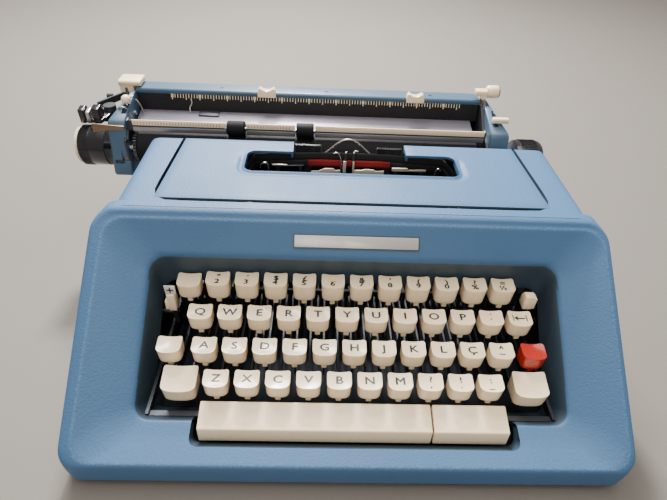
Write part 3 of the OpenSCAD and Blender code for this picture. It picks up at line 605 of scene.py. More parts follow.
# Ribbon cover: a loose panel let into the deck, hinged at its front edge. The slot for the
# type has a thin raised lip with a shallow scoop outside it, and a skirt below.
cover_x, cover_front, cover_top = 126.7, -21.1, 122.0
slot_x0, slot_x1, slot_y0, slot_radius = -77.5, 78, 14.2, 6.5
tab_y, gate_x0, gate_x1 = 39.7, -43.8, 41.8


def slot_distance(x, y):
    """How far a point of the cover lies outside the slot's round rectangle."""
    away_x = max(slot_x0 + slot_radius - x, x - slot_x1 + slot_radius, 0)
    away_y = max(slot_y0 + slot_radius - y, 0)
    return sqrt(away_x ** 2 + away_y ** 2) - slot_radius


def cover_height(x, y):
    """The cover's top, with the lip and the scoop that fade out towards the tabs."""
    away = slot_distance(x, y)
    fade = min(max((tab_y - y) / 9, 0), 1)
    lip = -0.15 * min(max((0.9 - away) / 0.9, 0), 1)
    scoop = 1.4 * hump((max(away, 0.9) - 2.8) / 2.0) * min(max(away / 0.9, 0), 1)
    return cover_top - fade * (scoop + lip) if away > -0.5 else cover_top


def spaced(start, stop, step):
    """Equal steps from start, without stop."""
    return [start + k * step for k in range(int(round((stop - start) / step)))]


cover_xs = (spaced(-cover_x, -91.7, 6) + spaced(-91.7, -72.7, 0.9) + spaced(-72.8, 70.4, 7.16)
            + spaced(70.4, 90.2, 0.9) + spaced(90.2, cover_x, 6.25) + [cover_x])
cover_ys = spaced(cover_front, 1.4, 7.6) + spaced(1.4, 20.3, 0.9) + spaced(20.3, cover_back,
                                                                           3.73) + [cover_back]
points = [(x * (flare(y) if abs(x) > 100 else 1), y, cover_height(x, y)) for y in cover_ys
          for x in cover_xs]
cover = mesh_object("ribbon_cover_panel", points, grid_faces(len(cover_ys), len(cover_xs)))
wall(cover, 0.002)
skirt = prism("skirt", round_outline(slot_x0 - 1.5, slot_y0 - 1.5, slot_x1 + 1.5, tab_y + 1.5, 8), 117,
              120.2)
slot_outline = round_outline(slot_x0, slot_y0, slot_x1, tab_y + 3, slot_radius)
cut(skirt, [prism("slot_tool", slot_outline, 100, 130)])
tab_walls = [prism("tab_wall", round_outline(x0, tab_y, x1, cover_back, 0.4), 117, 120.6)
             for x0, x1 in ((gate_x0 - 1.5, gate_x0), (gate_x1, gate_x1 + 1.5))]
cover = join("ribbon_cover_panel", [cover, skirt] + tab_walls)
cut(cover, [prism("slot_tool", slot_outline, 100, 130),
            prism("gate_tool", round_outline(gate_x0, tab_y - 12, gate_x1, 80, 0.5), 100, 130)])
# The cover carries the dark finish as well, as painted shade on its upright faces in the gap
for material in (shell_blue, well_painted_shade):
    cover.data.materials.append(material)
soften(cover, 0.45, 2, 50)
darken_gap(cover, 125, -20.6)
done(cover, "cover", "cover_blue", "ribbon_cover")


# Key caps: cream mouldings, straight at the back with small raised corners and bowed at the
# front, with a dished top and a stub below that grips the lever. The legends are printed.
def copies_tree():
    """A Geometry Nodes tree: equal copies of its own piece in a row or round an axis."""
    tree = bpy.data.node_groups.new("Copies in a row", "GeometryNodeTree")
    face = tree.interface
    face.new_socket("Geometry", in_out="INPUT", socket_type="NodeSocketGeometry")
    for label, kind, value in (("Count", "NodeSocketInt", 2), ("Step", "NodeSocketVector", (0, 0, 0)),
                               ("First turn", "NodeSocketFloat", 0.0), ("Turn", "NodeSocketFloat", 0.0)):
        face.new_socket(label, in_out="INPUT", socket_type=kind).default_value = value
    face.new_socket("Finish", in_out="INPUT", socket_type="NodeSocketMaterial")
    face.new_socket("Geometry", in_out="OUTPUT", socket_type="NodeSocketGeometry")
    given = tree.nodes.new("NodeGroupInput").outputs
    row = add(tree, "GeometryNodeMeshLine", [], [("Count", given["Count"]), ("Offset", given["Step"])],
              mode="OFFSET")
    index = add(tree, "GeometryNodeInputIndex")[0]
    times = add(tree, "ShaderNodeMath", [], [(0, index), (1, given["Turn"])], operation="MULTIPLY")
    plus = add(tree, "ShaderNodeMath", [], [(0, times[0]), (1, given["First turn"])])
    spin = add(tree, "ShaderNodeCombineXYZ", [], [("Z", plus[0])])
    place = add(tree, "GeometryNodeInstanceOnPoints", [],
                [("Rotation", spin[0]), ("Points", row["Mesh"]), ("Instance", given["Geometry"])])
    real = add(tree, "GeometryNodeRealizeInstances", [], [("Geometry", place["Instances"])])
    paint = add(tree, "GeometryNodeSetMaterial", [],
                [("Geometry", real["Geometry"]), ("Material", given["Finish"])])
    tree.links.new(paint["Geometry"], tree.nodes.new("NodeGroupOutput").inputs["Geometry"])
    return tree


copies = copies_tree()


def repeat(piece, material, count, step=(0, 0, 0), first_turn=0.0, turn=0.0, place=None):
    """The piece becomes count copies of itself, step in millimetres and turns in radians apart."""
    made = piece.modifiers.new("Copies", "NODES")
    made.node_group = copies
    values = {"Count": count, "Step": Vector(step) * 0.001, "First turn": first_turn, "Turn": turn,
              "Finish": material}
    for socket in copies.interface.items_tree:
        if socket.in_out == "INPUT" and socket.name in values:
            made[socket.identifier] = values[socket.name]
    apply_modifiers(piece)
    if place:
        shift(piece, place)
    return piece


def shift(piece, place):
    """Moves a piece's mesh by a matrix in millimetres."""
    metres = place.copy()
    metres.translation = place.translation * 0.001
    piece.data.transform(metres)
    return piece


def cap_outline(wide, deep):
    """Plan of a cap from the back's right corner round to the left, the front bowed."""
    half, small, middle = wide / 2, 1.7, 5.2
    points = [(half - small + small * sin(a), deep - small + small * cos(a)) for a in (1.1, 0.55, 0)]
    points += [(half - small - k / 8 * (wide - 2 * small), deep) for k in range(1, 8)]
    points += [(-x, y) for x, y in reversed(points[:3])]
    points += [(-half, deep - small - k / 3 * (deep - small - middle)) for k in range(4)]
    bow = [(-half * cos(a) ** 0.71, middle - middle * sin(a) ** 0.71) for a in
           [k / 9 * pi / 2 for k in range(1, 9)]]
    points += bow + [(0, 0)] + [(-x, y) for x, y in reversed(bow)]
    return points + [(half, middle + k / 3 * (deep - small - middle)) for k in range(4)]


def key_cap(name, material, wide, deep, tall, rise=0.0, stub=True):
    """A cap with its front's foot at the origin, in millimetres."""
    plan = cap_outline(wide, deep)
    middle = Vector((0, deep * 0.5))

    def top(x, y):
        u, t = x / (wide / 2), y / deep
        return tall + rise * t + 1.35 * u * u * (0.25 + 0.75 * t) + 2.0 * (t - 0.42) ** 2

    levels = [(0.915, None, 0.0), (0.935, None, 0.2), (0.95, None, 1.6), (0.965, None, 5),
              (0.985, 1.5, 0), (0.997, 0.55, 0), (0.995, 0.2, 0), (0.98, 0.03, 0), (0.94, 0, 0),
              (0.8, 0, 0), (0.6, 0, 0), (0.4, 0, 0), (0.2, 0, 0)]
    points = []
    for scale, below, height in levels:
        for p in plan:
            x, y = middle + (Vector(p) - middle) * scale
            points.append((x, y, height if below is None else top(x, y) - below))
    n = len(plan)
    faces = grid_faces(len(levels), n, closed=True)
    last = (len(levels) - 1) * n
    points.append((middle.x, middle.y, top(*middle)))
    faces += [(last + k, last + (k + 1) % n, len(points) - 1) for k in range(n)]
    faces.append(tuple(range(n))[::-1])
    cap = mesh_object(name, points, faces, material)
    recalc(cap)
    crisp(cap, 38)
    if stub:
        foot = prism("stub", round_outline(-1.8, 1.4, 1.8, 4.2, 0.7, 3), -4, 0.6, None, material)
        cap = join(name, [cap, crisp(foot)])
    return cap, top


cream = finish("cream_plastic", (0.93, 0.76, 0.52), (0.80, 0.60, 0.37), smooth=0.22, dull=0.36,
               soil_scale=120, amount=0.4, grain_scale=500, grain_depth=0.05, coat=0.25)
for label, value in (("Subsurface Weight", 0.12), ("Subsurface Scale", 0.002)):
    cream.node_tree.nodes["Principled BSDF"].inputs[label].default_value = value
legend_ink = finish("legend_ink", (0.015, 0.015, 0.015), (0.03, 0.03, 0.03), smooth=0.4, soil_scale=300)

cap_wide, cap_deep, cap_tall = 15.4, 12.4, 10.2
key_step, row_deep = 19.0, 18.5
front_row_y = -114.3

# The print is laid down five times, a little aside, for bold strokes. The letters are 1.22
# times as wide as the font's, whose capitals are 0.72 of its size.
bold = [(0, 0), (-0.25, 0), (0.25, 0), (0, 0.2), (0, -0.2)]
print_lift, print_wide, capital_share = 0.05, 1.22, 0.72


def glyph(name, words, tall, place, top):
    """Printed letters on a dished top: their height in millimetres, centred on place."""
    text = bpy.data.curves.new(name, "FONT")
    text.body = words
    text.align_x, text.align_y = "CENTER", "CENTER"
    text.size = 1.0
    text.resolution_u = 3
    holder = placed(name, text)
    flat = plain_mesh(holder)
    bpy.data.objects.remove(holder)
    size = tall / capital_share
    points, faces = [], []
    for k, (dx, dy) in enumerate(bold):
        faces += [tuple(len(points) + i for i in face.vertices) for face in flat.polygons]
        for corner in flat.vertices:
            x, y = corner.co.x * size * print_wide + place[0] + dx, corner.co.y * size + place[1] + dy
            points.append((x, y, top(x, y) + print_lift + 0.004 * k))
    return mesh_object(name, points, faces, legend_ink)


# Each row: name, first key's middle, height of the caps' feet, legends from left to right.
# A pair is the sign at the back and the figure in front of it.
rows = [("number_row", -88.5, 67.6,
         ["", ('"', "2"), ("´", "3"), ("$", "4"), ("£", "5"), ("_", "6"), ("&", "7"), ("'", "8"),
          ("(", "9"), (")", "0"), ("?", "%"), ("=", "½")]),
        ("upper_row", -98, 57.7, list("QWERTYUIOP") + [("`", "´")]),
        ("home_row", -93.25, 47.2, list("ASDFGHJKLÇ") + [("^", "~")]),
        ("lower_row", -83.75, 38.7, list("ZXCVBNM") + [("?", ","), ("!", "."), (":", "_")])]


def legends(name, words, x, y, z, top):
    """The print of one key, put on its cap."""
    if not words:
        return []
    if isinstance(words, tuple):
        marks = [glyph(name, words[0], 3.9, (0.2, 8.3), top),
                 glyph(name, words[1], 3.9, (-0.3, 4.3), top)]
    else:
        marks = [glyph(name, words, 5.2, (0, 6.6), top)]
    return [shift(mark, Matrix.Translation((x, y, z))) for mark in marks]


for r, (row, first, foot_z, words) in enumerate(rows):
    row_y = front_row_y + (3 - r) * row_deep
    start = 1 if row == "number_row" else 0
    count = len(words) - start
    cap, cap_top = key_cap(row + "_caps_moulded", cream, cap_wide, cap_deep,
                           cap_tall + (2 if r == 0 else 0))
    repeat(cap, cream, count, (key_step, 0, 0), place=Matrix.Translation((first, row_y, foot_z)))
    done(cap, row, "cream_plastic", row + "_caps")
    print_marks = [mark for k, word in enumerate(words[start:])
                   for mark in legends("mark", word, first + k * key_step, row_y, foot_z, cap_top)]
    done(join(row + "_legends", print_marks), row, "scale_black")

# Single keys: the blanks at the rows' ends, the back space and the red tabulator, each on a
# lever of its own that runs to the common shaft.
shaft_y, shaft_z = 60, 30
side_place = Matrix(((0, 0, 1, 0), (1, 0, 0, 0), (0, 1, 0, 0), (0, 0, 0, 1)))


def side_piece(name, outline, x0, x1, material, bevel=0.0, segments=2):
    """A solid of a side outline, points as (y, z), from x0 to x1."""
    made = prism(name, outline, x0, x1, side_place, material)
    return soften(made, bevel, segments) if bevel else crisp(made)


def block(name, x0, x1, y0, y1, z0, z1, material=None, bevel=0.0):
    """A rectangular solid, its edges rounded where a bevel is given."""
    return side_piece(name, [(y0, z0), (y1, z0), (y1, z1), (y0, z1)], x0, x1, material, bevel)


def arc(y, z, radius, start, stop, steps):
    """Points round a centre, angles in degrees."""
    return [(y + radius * cos(radians(start + (stop - start) * k / steps)),
             z + radius * sin(radians(start + (stop - start) * k / steps))) for k in range(steps + 1)]


lever_steel = finish("lever_steel", (0.05, 0.055, 0.068), (0.025, 0.026, 0.03), smooth=0.3, dull=0.5,
                     soil_scale=60, grain_scale=1500, grain_depth=0.12, metallic=0.8)
red = finish("red_plastic", (0.42, 0.02, 0.01), (0.32, 0.018, 0.01), smooth=0.2, dull=0.34,
             soil_scale=80, grain_scale=500, grain_depth=0.05, coat=0.3)


def key_lever(name, x, front_y, top_z, thick=1.2):
    """A lever from the common shaft to the front, where it stands up under its cap."""
    outline = arc(shaft_y, shaft_z, 5.5, -90, 90, 10)
    outline += [(front_y + 12, 36), (front_y + 12, top_z), (front_y + 6, top_z), (front_y + 6, 28.5)]
    return side_piece(name, outline, x - thick / 2, x + thick / 2, lever_steel)


singles = [("shift_lock", "shift_lock_key", -115, -112.25, 2, cream, None),
           ("tabulator", "tabulator_key", 117.4, 118.9, 2, red, None),
           ("backspace", "backspace_key", 111, 111, 1, cream, "|←|"),
           ("margin_release", "margin_release_key", -107.5, -107.5, 0, cream, None)]
for body, node, cap_x, lever_x, r, material, word in singles:
    row_y, foot_z = front_row_y + (3 - r) * row_deep, rows[r][2]
    cap, cap_top = key_cap(node + "_cap", material, cap_wide, cap_deep, cap_tall)
    shift(cap, Matrix.Translation((cap_x, row_y, foot_z)))
    parts = [cap, key_lever("lever", lever_x, row_y, foot_z + 0.3)]
    if word:
        bar = [prism("mark", round_outline(x - 0.35, 4.4, x + 0.35, 9.4, 0.2, 2), 0, 0.1)
               for x in (-4.4, 4.4)]
        bar.append(prism("mark",
                         [(-3.7, 6.9), (-1.2, 9.1), (-1.2, 7.4), (3.5, 7.4), (3.5, 6.4), (-1.2, 6.4),
                          (-1.2, 4.7)], 0, 0.1))
        for mark in bar:
            mark.data.materials.append(legend_ink)
            for corner in mark.data.vertices:
                x, y, z = corner.co * 1000
                corner.co.z = (cap_top(x, y) + z - 0.04) * 0.001
            shift(mark, Matrix.Translation((cap_x, row_y, foot_z)))
        parts += bar
    done(join(node + "_whole", parts), body, "red_plastic" if material is red else "cream_plastic", node)

# Shift keys: two wide caps whose levers are joined behind the shaft, so they go down together.
shift_parts = []
for cap_x, lever_x in ((-107, -102.75), (114.2, 106.25)):
    cap, _ = key_cap("shift_cap", cream, 21.6, 17, cap_tall, 2.8, stub=False)
    shift(cap, Matrix.Translation((cap_x, front_row_y, 33)))
    shift_parts += [cap, key_lever("shift_lever", lever_x, front_row_y, 33.4),
                    block("tail", lever_x - 0.6, lever_x + 0.6, 65, 80, 27, 33, lever_steel)]
shift_parts.append(block("tie", -102.75, 106.25, 76, 80, 28, 32, lever_steel))
done(join("shift_keys_whole", shift_parts), "shift", "cream_plastic", "shift_keys")

# Space bars: two hollow bars across the front, the short one beside the long one, each on a
# cross rod and one arm.
bar_outline = [(-133.5, 21), (-132.4, 32.6), (-115.9, 37.3), (-115.5, 34), (-116.2, 21), (-118, 21),
               (-118.6, 31), (-128.6, 30.4), (-130.6, 21)]
for name, body, x0, x1, arm_x in (("space_bar", "space", -93, 49.6, -126),
                                  ("half_space_bar", "half_space", 50.6, 97.2, 129)):
    bar = side_piece("bar", bar_outline, x0, x1, cream, 1.1, 3)
    cross = block("cross", min(arm_x, x0), max(arm_x, x1), -121, -117.5, 24, 28, lever_steel)
    arm = side_piece("arm",
                     arc(shaft_y, shaft_z, 5.5, -90, 90, 10) + [(-117.5, 30), (-121, 30), (-121, 24)],
                     arm_x - 1, arm_x + 1, lever_steel)
    done(join(name + "_whole", [bar, cross, arm]), body, "cream_plastic", name)


# Touch lever, left of the keys: a cream slider on a steel arm, with a small square plate
# above it that is marked with a plus.
touch_shape = [(-61.3, 57.5), (-61.6, 61), (-61.3, 72), (-59.6, 73), (-56.4, 72.6), (-54.2, 66),
               (-54, 58)]
touch = [side_piece("slider", touch_shape, -121.6, -116.4, cream, 0.5),
         side_piece("thumb", [(-62.3, 60), (-61.5, 67), (-58, 67), (-58, 60)], -123.2, -121, cream, 0.4),
         side_piece("arm", [(-60, 62), (-56, 62), (-51, 47), (-59, 47)], -120.6, -118.4, lever_steel)]


def circle(a, b, radius, steps):
    """Points round a middle."""
    return [(a + radius * cos(k / steps * tau), b + radius * sin(k / steps * tau)) for k in range(steps)]


def lathe(name, profile, material, y, z, steps=64):
    """A solid turned about an axis along x, points as (x, radius) from end to end."""
    points = [(x, *p) for x, radius in profile for p in circle(y, z, radius, steps)]
    faces = grid_faces(len(profile), steps, closed=True)
    faces += [tuple(range(steps)), tuple(range((len(profile) - 1) * steps, len(profile) * steps))]
    made = mesh_object(name, points, faces, material)
    recalc(made)
    return crisp(made)


def rod(name, x0, x1, y, z, radius, material, steps=24):
    """A round bar along x."""
    return lathe(name, [(x0, radius), (x1, radius)], material, y, z, steps)


touch.append(rod("touch_pin", -141, -117, -55, 50, 1.5, lever_steel))
done(join("touch_lever_whole", touch), "touch", "cream_plastic", "touch_lever")
white_plate = finish("white_plate", (0.72, 0.72, 0.68), (0.55, 0.54, 0.5), soil_scale=90)
plate = [block("plate", -121.7, -114.8, -60.6, -59.8, 73, 80.2, white_plate, 0.2),
         side_piece("lug", [(-59.9, 73), (-59.9, 79), (-57.5, 79), (-57.5, 44), (-59.9, 44)], -120, -117,
                    lever_steel)]
for x0, x1, z0, z1 in ((-120.4, -116, 76.3, 77.1), (-118.6, -117.8, 74.5, 78.9)):
    plate.append(block("plus", x0, x1, -60.9, -60.5, z0, z1, legend_ink))
done(join("touch_plate", plate), "machine", "cream_plastic")

# Ribbon colour lever, right of the keys: a cream block with a black dot on its side.
colour = [
    side_piece("block", [(-61.5, 67), (-60.6, 77.6), (-56, 78.4), (-53.5, 74), (-53.5, 67)], 115.4,
               121.6, cream, 0.6),
    side_piece("step", [(-60.4, 66.6), (-60, 75.4), (-54, 75.4), (-53.5, 66.6)], 121.4, 124, cream, 0.4),
    rod("dot", 123.8, 124.4, -57.4, 72.2, 1.6, legend_ink),
    side_piece("arm", [(-60, 68), (-54.5, 68), (-51, 47), (-59, 47)], 117, 119.6, lever_steel),
    rod("colour_pin", 115.5, 141, -55, 50, 1.5, lever_steel)]
done(join("ribbon_colour_lever_whole", colour), "colour", "cream_plastic", "ribbon_colour_lever")


# Type guide, vibrator and the plates round the printing point: bright stamped steel, with
# the ribbon drawn past them in black over red.
bright_steel = finish("bright_steel", (0.62, 0.61, 0.58), (0.42, 0.41, 0.39), smooth=0.22, dull=0.42,
                      soil_scale=70, grain_scale=1800, grain_depth=0.1, metallic=0.9)
beige_plate = finish("beige_plate", (0.60, 0.55, 0.45), (0.40, 0.35, 0.27), smooth=0.4, dull=0.6,
                     soil_scale=90, grain_scale=900, metallic=0.25)
dark_steel = finish("dark_steel", (0.045, 0.048, 0.055), (0.09, 0.09, 0.095), smooth=0.38, dull=0.6,
                    soil_scale=60, grain_scale=1200, grain_depth=0.12, metallic=0.5)
front_place = Matrix(((1, 0, 0, 0), (0, 0, 1, 0), (0, 1, 0, 0), (0, 0, 0, 1)))


def front_piece(name, outline, y0, y1, material, bevel=0.0, segments=2):
    """A solid of a front outline, points as (x, z), from y0 to y1."""
    made = prism(name, outline, y0, y1, front_place, material)
    return soften(made, bevel, segments) if bevel else crisp(made)


cheek_side = [(54.6, 114.6), (55.6, 115.4), (56.4, 114), (56.6, 96), (50, 78), (37, 57), (30, 57),
              (32, 66), (47, 84), (53, 97)]
brace_side = [(49.9, 95.5), (53, 96.4), (53, 98.4), (49.9, 97.6)]
guide = []
for x0, x1, brace_x0, brace_x1 in ((-3.9, -2.5, -24, -2.6), (2.5, 3.7, 2.6, 24)):
    guide.append(side_piece("cheek", cheek_side, x0, x1, dark_steel, 0.25))
    guide.append(rod("tip", x0 + 0.2, x1 - 0.2, 55.2, 115.5, 0.85, bright_steel, 12))
    guide.append(side_piece("brace", brace_side, brace_x0, brace_x1, dark_steel, 0.2))
for front, y0, y1, edge in (([(-5, 96), (-5.2, 103), (-4.8, 108.6), (-2.6, 108.9), (-2.5, 96)], 52.8,
                             53.8, 0.2),
                            ([(2.5, 96), (2.5, 108.6), (3.9, 108.4), (4, 96)], 52.8, 53.8, 0.2),
                            ([(-30.3, 97), (-30.3, 101), (-24, 101.6), (-20, 103.8), (-12.6, 104),
                              (-11, 102.4), (-7.3, 102.8), (-7.3, 97)], 49.6, 50.4, 0.25),
                            ([(3.7, 97), (3.7, 103), (9.5, 103.2), (12, 104.2), (19, 104), (21, 102.6),
                              (27.6, 103.4), (27.6, 97)], 49.6, 50.4, 0.25)):
    guide.append(front_piece("plate", front, y0, y1, beige_plate, edge))
done(join("type_guide_plates", guide), "basket", "guide_plate", "type_guide")


def wire(name, path, radius, material):
    """A round wire through points in millimetres, smooth between them."""
    data = bpy.data.curves.new(name, "CURVE")
    data.dimensions = "3D"
    data.bevel_depth = radius * 0.001
    data.bevel_resolution = 3
    data.resolution_u = 5
    data.use_fill_caps = True
    line = data.splines.new("BEZIER")
    line.bezier_points.add(len(path) - 1)
    for point, place in zip(line.bezier_points, path):
        point.co = Vector(place) * 0.001
        point.handle_left_type = point.handle_right_type = "AUTO"
    holder = placed(name, data)
    mesh = plain_mesh(holder)
    bpy.data.objects.remove(holder)
    mesh.materials.clear()
    mesh.materials.append(material)
    mesh.polygons.foreach_set("use_smooth", [True] * len(mesh.polygons))
    return placed(name, mesh)


# The vibrator carries the ribbon in two bent wires, one each side of the printing point
foot_side = [(57.4, 83), (59.2, 83), (59.2, 88), (57.4, 88)]
vibrator = [
    side_piece("foot", foot_side, -8, -2.4, bright_steel),
    side_piece("foot", foot_side, 2.4, 8, bright_steel),
    block("web", -8, 8, 58.6, 59.2, 83, 88, bright_steel),
    wire("hook",
         [(-6.4, 58.6, 86), (-6.2, 58.8, 98.2), (-7.6, 59, 110), (-10.1, 59.1, 112.8),
          (-12.9, 59.1, 112.1)], 0.6, bright_steel),
    wire("hook",
         [(4.6, 58.6, 86), (4.1, 58.8, 98.6), (3.2, 59, 111.2), (4.2, 59.1, 114.7), (6.5, 59.1, 114.5)],
         0.6, bright_steel)]
done(join("ribbon_vibrator_wires", vibrator), "vibrator", "lever_steel", "ribbon_vibrator")


def cloth(name, colour, inked):
    """Woven ribbon: fine threads in one direction, and no gloss."""
    material = finish(name, colour, inked, smooth=0.8, dull=0.95, soil_scale=60, grain_scale=200,
                      grain_depth=0.1)
    tree = material.node_tree
    place = add(tree, "ShaderNodeTexCoord")["Object"]
    threads = add(tree, "ShaderNodeTexWave", [("Scale", 700)], [("Vector", place)])
    bump = add(tree, "ShaderNodeBump", [("Distance", 0.0001), ("Strength", 0.4)],
               [("Height", threads["Fac"])])
    tree.links.new(bump["Normal"], tree.nodes["Principled BSDF"].inputs["Normal"])
    return material


ribbon_black = cloth("ribbon_black", (0.012, 0.011, 0.012), (0.02, 0.017, 0.018))
ribbon_red = cloth("ribbon_red", (0.30, 0.012, 0.016), (0.20, 0.01, 0.014))
ribbon_path = [(0, 59.6), (22, 59.6), (33, 58.8), (44, 57.6), (60, 56), (74, 54.4), (79.5, 37.6),
               (84.5, 21.6)]
ribbon_top, ribbon_middle, ribbon_foot = 112.6, 106.1, 99.7


def ribbon_band(name, path, z0, z1, material):
    """A length of ribbon on edge along a path of (x, y)."""
    levels = (z0, z0 + (z1 - z0) / 3, z0 + (z1 - z0) * 2 / 3, z1)
    points = [(x, y, z) for z in levels for x, y in path]
    return wall(mesh_object(name, points, grid_faces(len(levels), len(path)), material), 0.00022)


whole_path = [(-x, y) for x, y in reversed(ribbon_path[1:])] + ribbon_path
bands = [ribbon_band("black", whole_path, ribbon_middle, ribbon_top, ribbon_black)]
for stretch, material in ((whole_path[5:10], ribbon_red), (whole_path[:6], ribbon_black),
                          (whole_path[9:], ribbon_black)):
    bands.append(ribbon_band("lower", stretch, ribbon_foot, ribbon_middle, material))
done(join("ribbon_bands", bands), "machine", "ribbon_cloth", "ribbon")

# Card holder: two smoked clear plates on a cross bar, and a thin wire bent over between them
smoked = finish("smoked_plate", (0.014, 0.015, 0.018), (0.03, 0.03, 0.034), smooth=0.2, dull=0.4,
                soil_scale=70, grain_depth=0.03, shine=0.3)
cards = [cut(block("bar", -138.4, 138.4, 60, 63, 78, 82, dark_steel, 0.3),
             [prism("tool", round_outline(50, 79.5, 61.5, 90, 0.5), -9, 9, side_place)])]
for x0, x1, top_z in ((-44.2, -22, 118), (20.5, 42.5, 117)):
    cards.append(front_piece("card_plate", round_outline(x0, 98, x1, top_z, 1.5), 61.3, 62.3, smoked,
                             0.25))
    cards.append(front_piece("post", round_outline(x0 + 8, 81, x1 - 8, 99, 0.5), 60.9, 61.9, dark_steel))
    for a, b, c, d in ((x0 + 1, top_z - 0.9, x1 - 1, top_z - 0.4), (x0 + 0.4, 102, x0 + 0.9, top_z - 1),
                       (x1 - 0.9, 102, x1 - 0.4, top_z - 1)):
        cards.append(front_piece("edge", round_outline(a, b, c, d, 0.2), 61.0, 61.5, bright_steel))
cards.append(wire("paper_wire",
                  [(-21.6, 60.6, 109.5), (-15, 61, 115.5), (-8, 61, 121.5), (-1.8, 61, 123.8),
                   (4.6, 61, 121.8), (11, 61, 116.5), (17.4, 60.6, 110.5)], 0.7, bright_steel))
done(join("card_holder_plates", cards), "machine", "clear_plate", "card_holder")

# Thin links of the ribbon feed cross the slot at both sides, with a bent wire at each end
links_of = [
    block("link", -60.9, -49.2, 49.8, 50.6, 105.2, 106.2, beige_plate, 0.2),
    front_piece("link", [(-60.2, 103.4), (-60.2, 104.3), (-35.9, 105.6), (-35.9, 104.6)], 50.8, 51.6,
                dark_steel, 0.2),
    front_piece("link",
                [(33.6, 103), (33.6, 106), (45.5, 106.2), (47, 104.6), (60.8, 105.4), (60.8, 103.4)],
                49.8, 50.6, beige_plate, 0.2),
    wire("hook",
         [(-70.5, 50, 102.3), (-69, 50, 106), (-65.6, 50, 107), (-64, 50, 104.6), (-64.2, 50, 98)], 0.6,
         bright_steel),
    wire("hook", [(68.5, 50, 98), (68.5, 50, 102.8), (70.5, 50, 106.6), (72.5, 50, 105)], 0.6,
         bright_steel),
    block("beam", -76, -34, 49.6, 51.8, 96, 99, dark_steel, 0.3),
    block("beam", 32, 76, 49.6, 51.8, 96, 99, dark_steel, 0.3)]
for x0, x1, z0, z1 in ((-58, -55, 98, 105.6), (-40, -37.4, 98, 104.8), (36, 38.6, 98, 104),
                       (56, 59, 98, 104)):
    links_of.append(block("post", x0, x1, 50.7, 51.3, z0, z1, dark_steel, 0.15))
done(join("ribbon_feed_links", links_of), "machine", "lever_steel")


# Platen: a rubber roller on its axle, with a moulded knob at each end. The left knob ends in
# a cream disc; both have fine grips and rounded rims.
platen_y, platen_z, platen_r = 80, 101, 15.5
rubber = finish("platen_rubber", (0.008, 0.008, 0.010), (0.018, 0.018, 0.022), smooth=0.6, dull=0.8,
                soil_scale=30, grain_scale=800, grain_depth=0.12, shine=0.12)
gloss_black = finish("gloss_black", (0.014, 0.014, 0.017), (0.03, 0.03, 0.034), smooth=0.17, dull=0.34,
                     soil_scale=50, amount=0.4, grain_scale=700, grain_depth=0.04, coat=0.35)
done(lathe("platen_roller",
           [(-170, 3.1), (-170, 15.1), (-169.6, 15.5), (104.6, 15.5), (105, 15.1), (105, 3.1)], rubber,
           platen_y, platen_z), "platen_unit", "platen_rubber", "platen")


def grip(x0, x1, radius, count, depth=0.35):
    """Fine ribs round a knob, as copies of one rib."""
    rib = prism("rib",
                [(radius - 0.3, -0.28), (radius + depth, -0.16), (radius + depth, 0.16),
                 (radius - 0.3, 0.28)], x0, x1, None, gloss_black)
    axis = Matrix.Translation((0, platen_y, platen_z)) @ Matrix.Rotation(pi / 2, 4, "Y")
    return crisp(repeat(rib, gloss_black, count, turn=tau / count, place=axis))


knob_steps = 72
left_knob = lathe("knob_left_turned",
                  [(-196.1, 3.1), (-196.1, 15.4), (-196.6, 16), (-208.7, 16), (-209.1, 15.75),
                   (-209.5, 16), (-215, 15.9), (-216.7, 15.6), (-217.7, 14.9), (-218, 13.8),
                   (-218, 3.1)], gloss_black, platen_y, platen_z, knob_steps)
cream_disc = lathe("disc",
                   [(-217.9, 3), (-217.9, 14.4), (-218.9, 14.9), (-219.9, 14.6), (-220.45, 13.4),
                    (-220.45, 4), (-220.1, 2), (-220.1, 0.4)], cream, platen_y, platen_z, knob_steps)
done(join("knob_left_turned", [left_knob, cream_disc, grip(-216.5, -210, 15.95, 90)]), "platen_unit",
     "knob_black", "knob_left")
right_knob = lathe("knob_right_turned",
                   [(138, 3.1), (138, 15), (138.6, 15.7), (141, 16), (156, 16), (158.6, 15.6),
                    (160.4, 14.2), (161.5, 12), (161.9, 8), (162, 0.5)], gloss_black, platen_y, platen_z,
                   knob_steps)
done(join("knob_right_turned", [right_knob, grip(142, 155.5, 16, 60, 0.45)]), "platen_unit",
     "knob_black", "knob_right")


# Carriage end caps: moulded shells in grey-blue over the black end plates. Their tops slope
# up to the back, with slots for the small levers; the left one carries the return lever.
cap_blue = finish("cap_enamel", (0.06, 0.115, 0.18), (0.042, 0.08, 0.125), smooth=0.36, dull=0.52,
                  soil_scale=16, grain_scale=1150, grain_depth=0.3, coat=0.08)
cap_side = ([(67, 80.5), (65, 82.5), (64.4, 84.5), (72.6, 122.4), (73.6, 124.8), (75.6, 126.6),
             (103.4, 135), (106, 135.5), (123.6, 135.5)] + arc(123.6, 132, 3.4, 70, 0, 4)
            + [(127, 84), (123, 80.5)])
bronze = finish("bronze_plate", (0.30, 0.20, 0.13), (0.18, 0.13, 0.09), smooth=0.3, dull=0.5,
                soil_scale=70, grain_scale=1500, grain_depth=0.1, metallic=0.85)
bores = [(80, 101, 4.4), (96, 103, 2), (90, 83.6, 2)]


def narrow(piece, inner, outer, back_outer, y0, y1):
    """Draws a cap's outer side in towards the back."""
    for corner in piece.data.vertices:
        t = min(max((corner.co.y * 1000 - y0) / (y1 - y0), 0), 1)
        share = 1 - t * (outer - back_outer) / (outer - inner)
        corner.co.x = (inner + (corner.co.x * 1000 - inner) * share) * 0.001


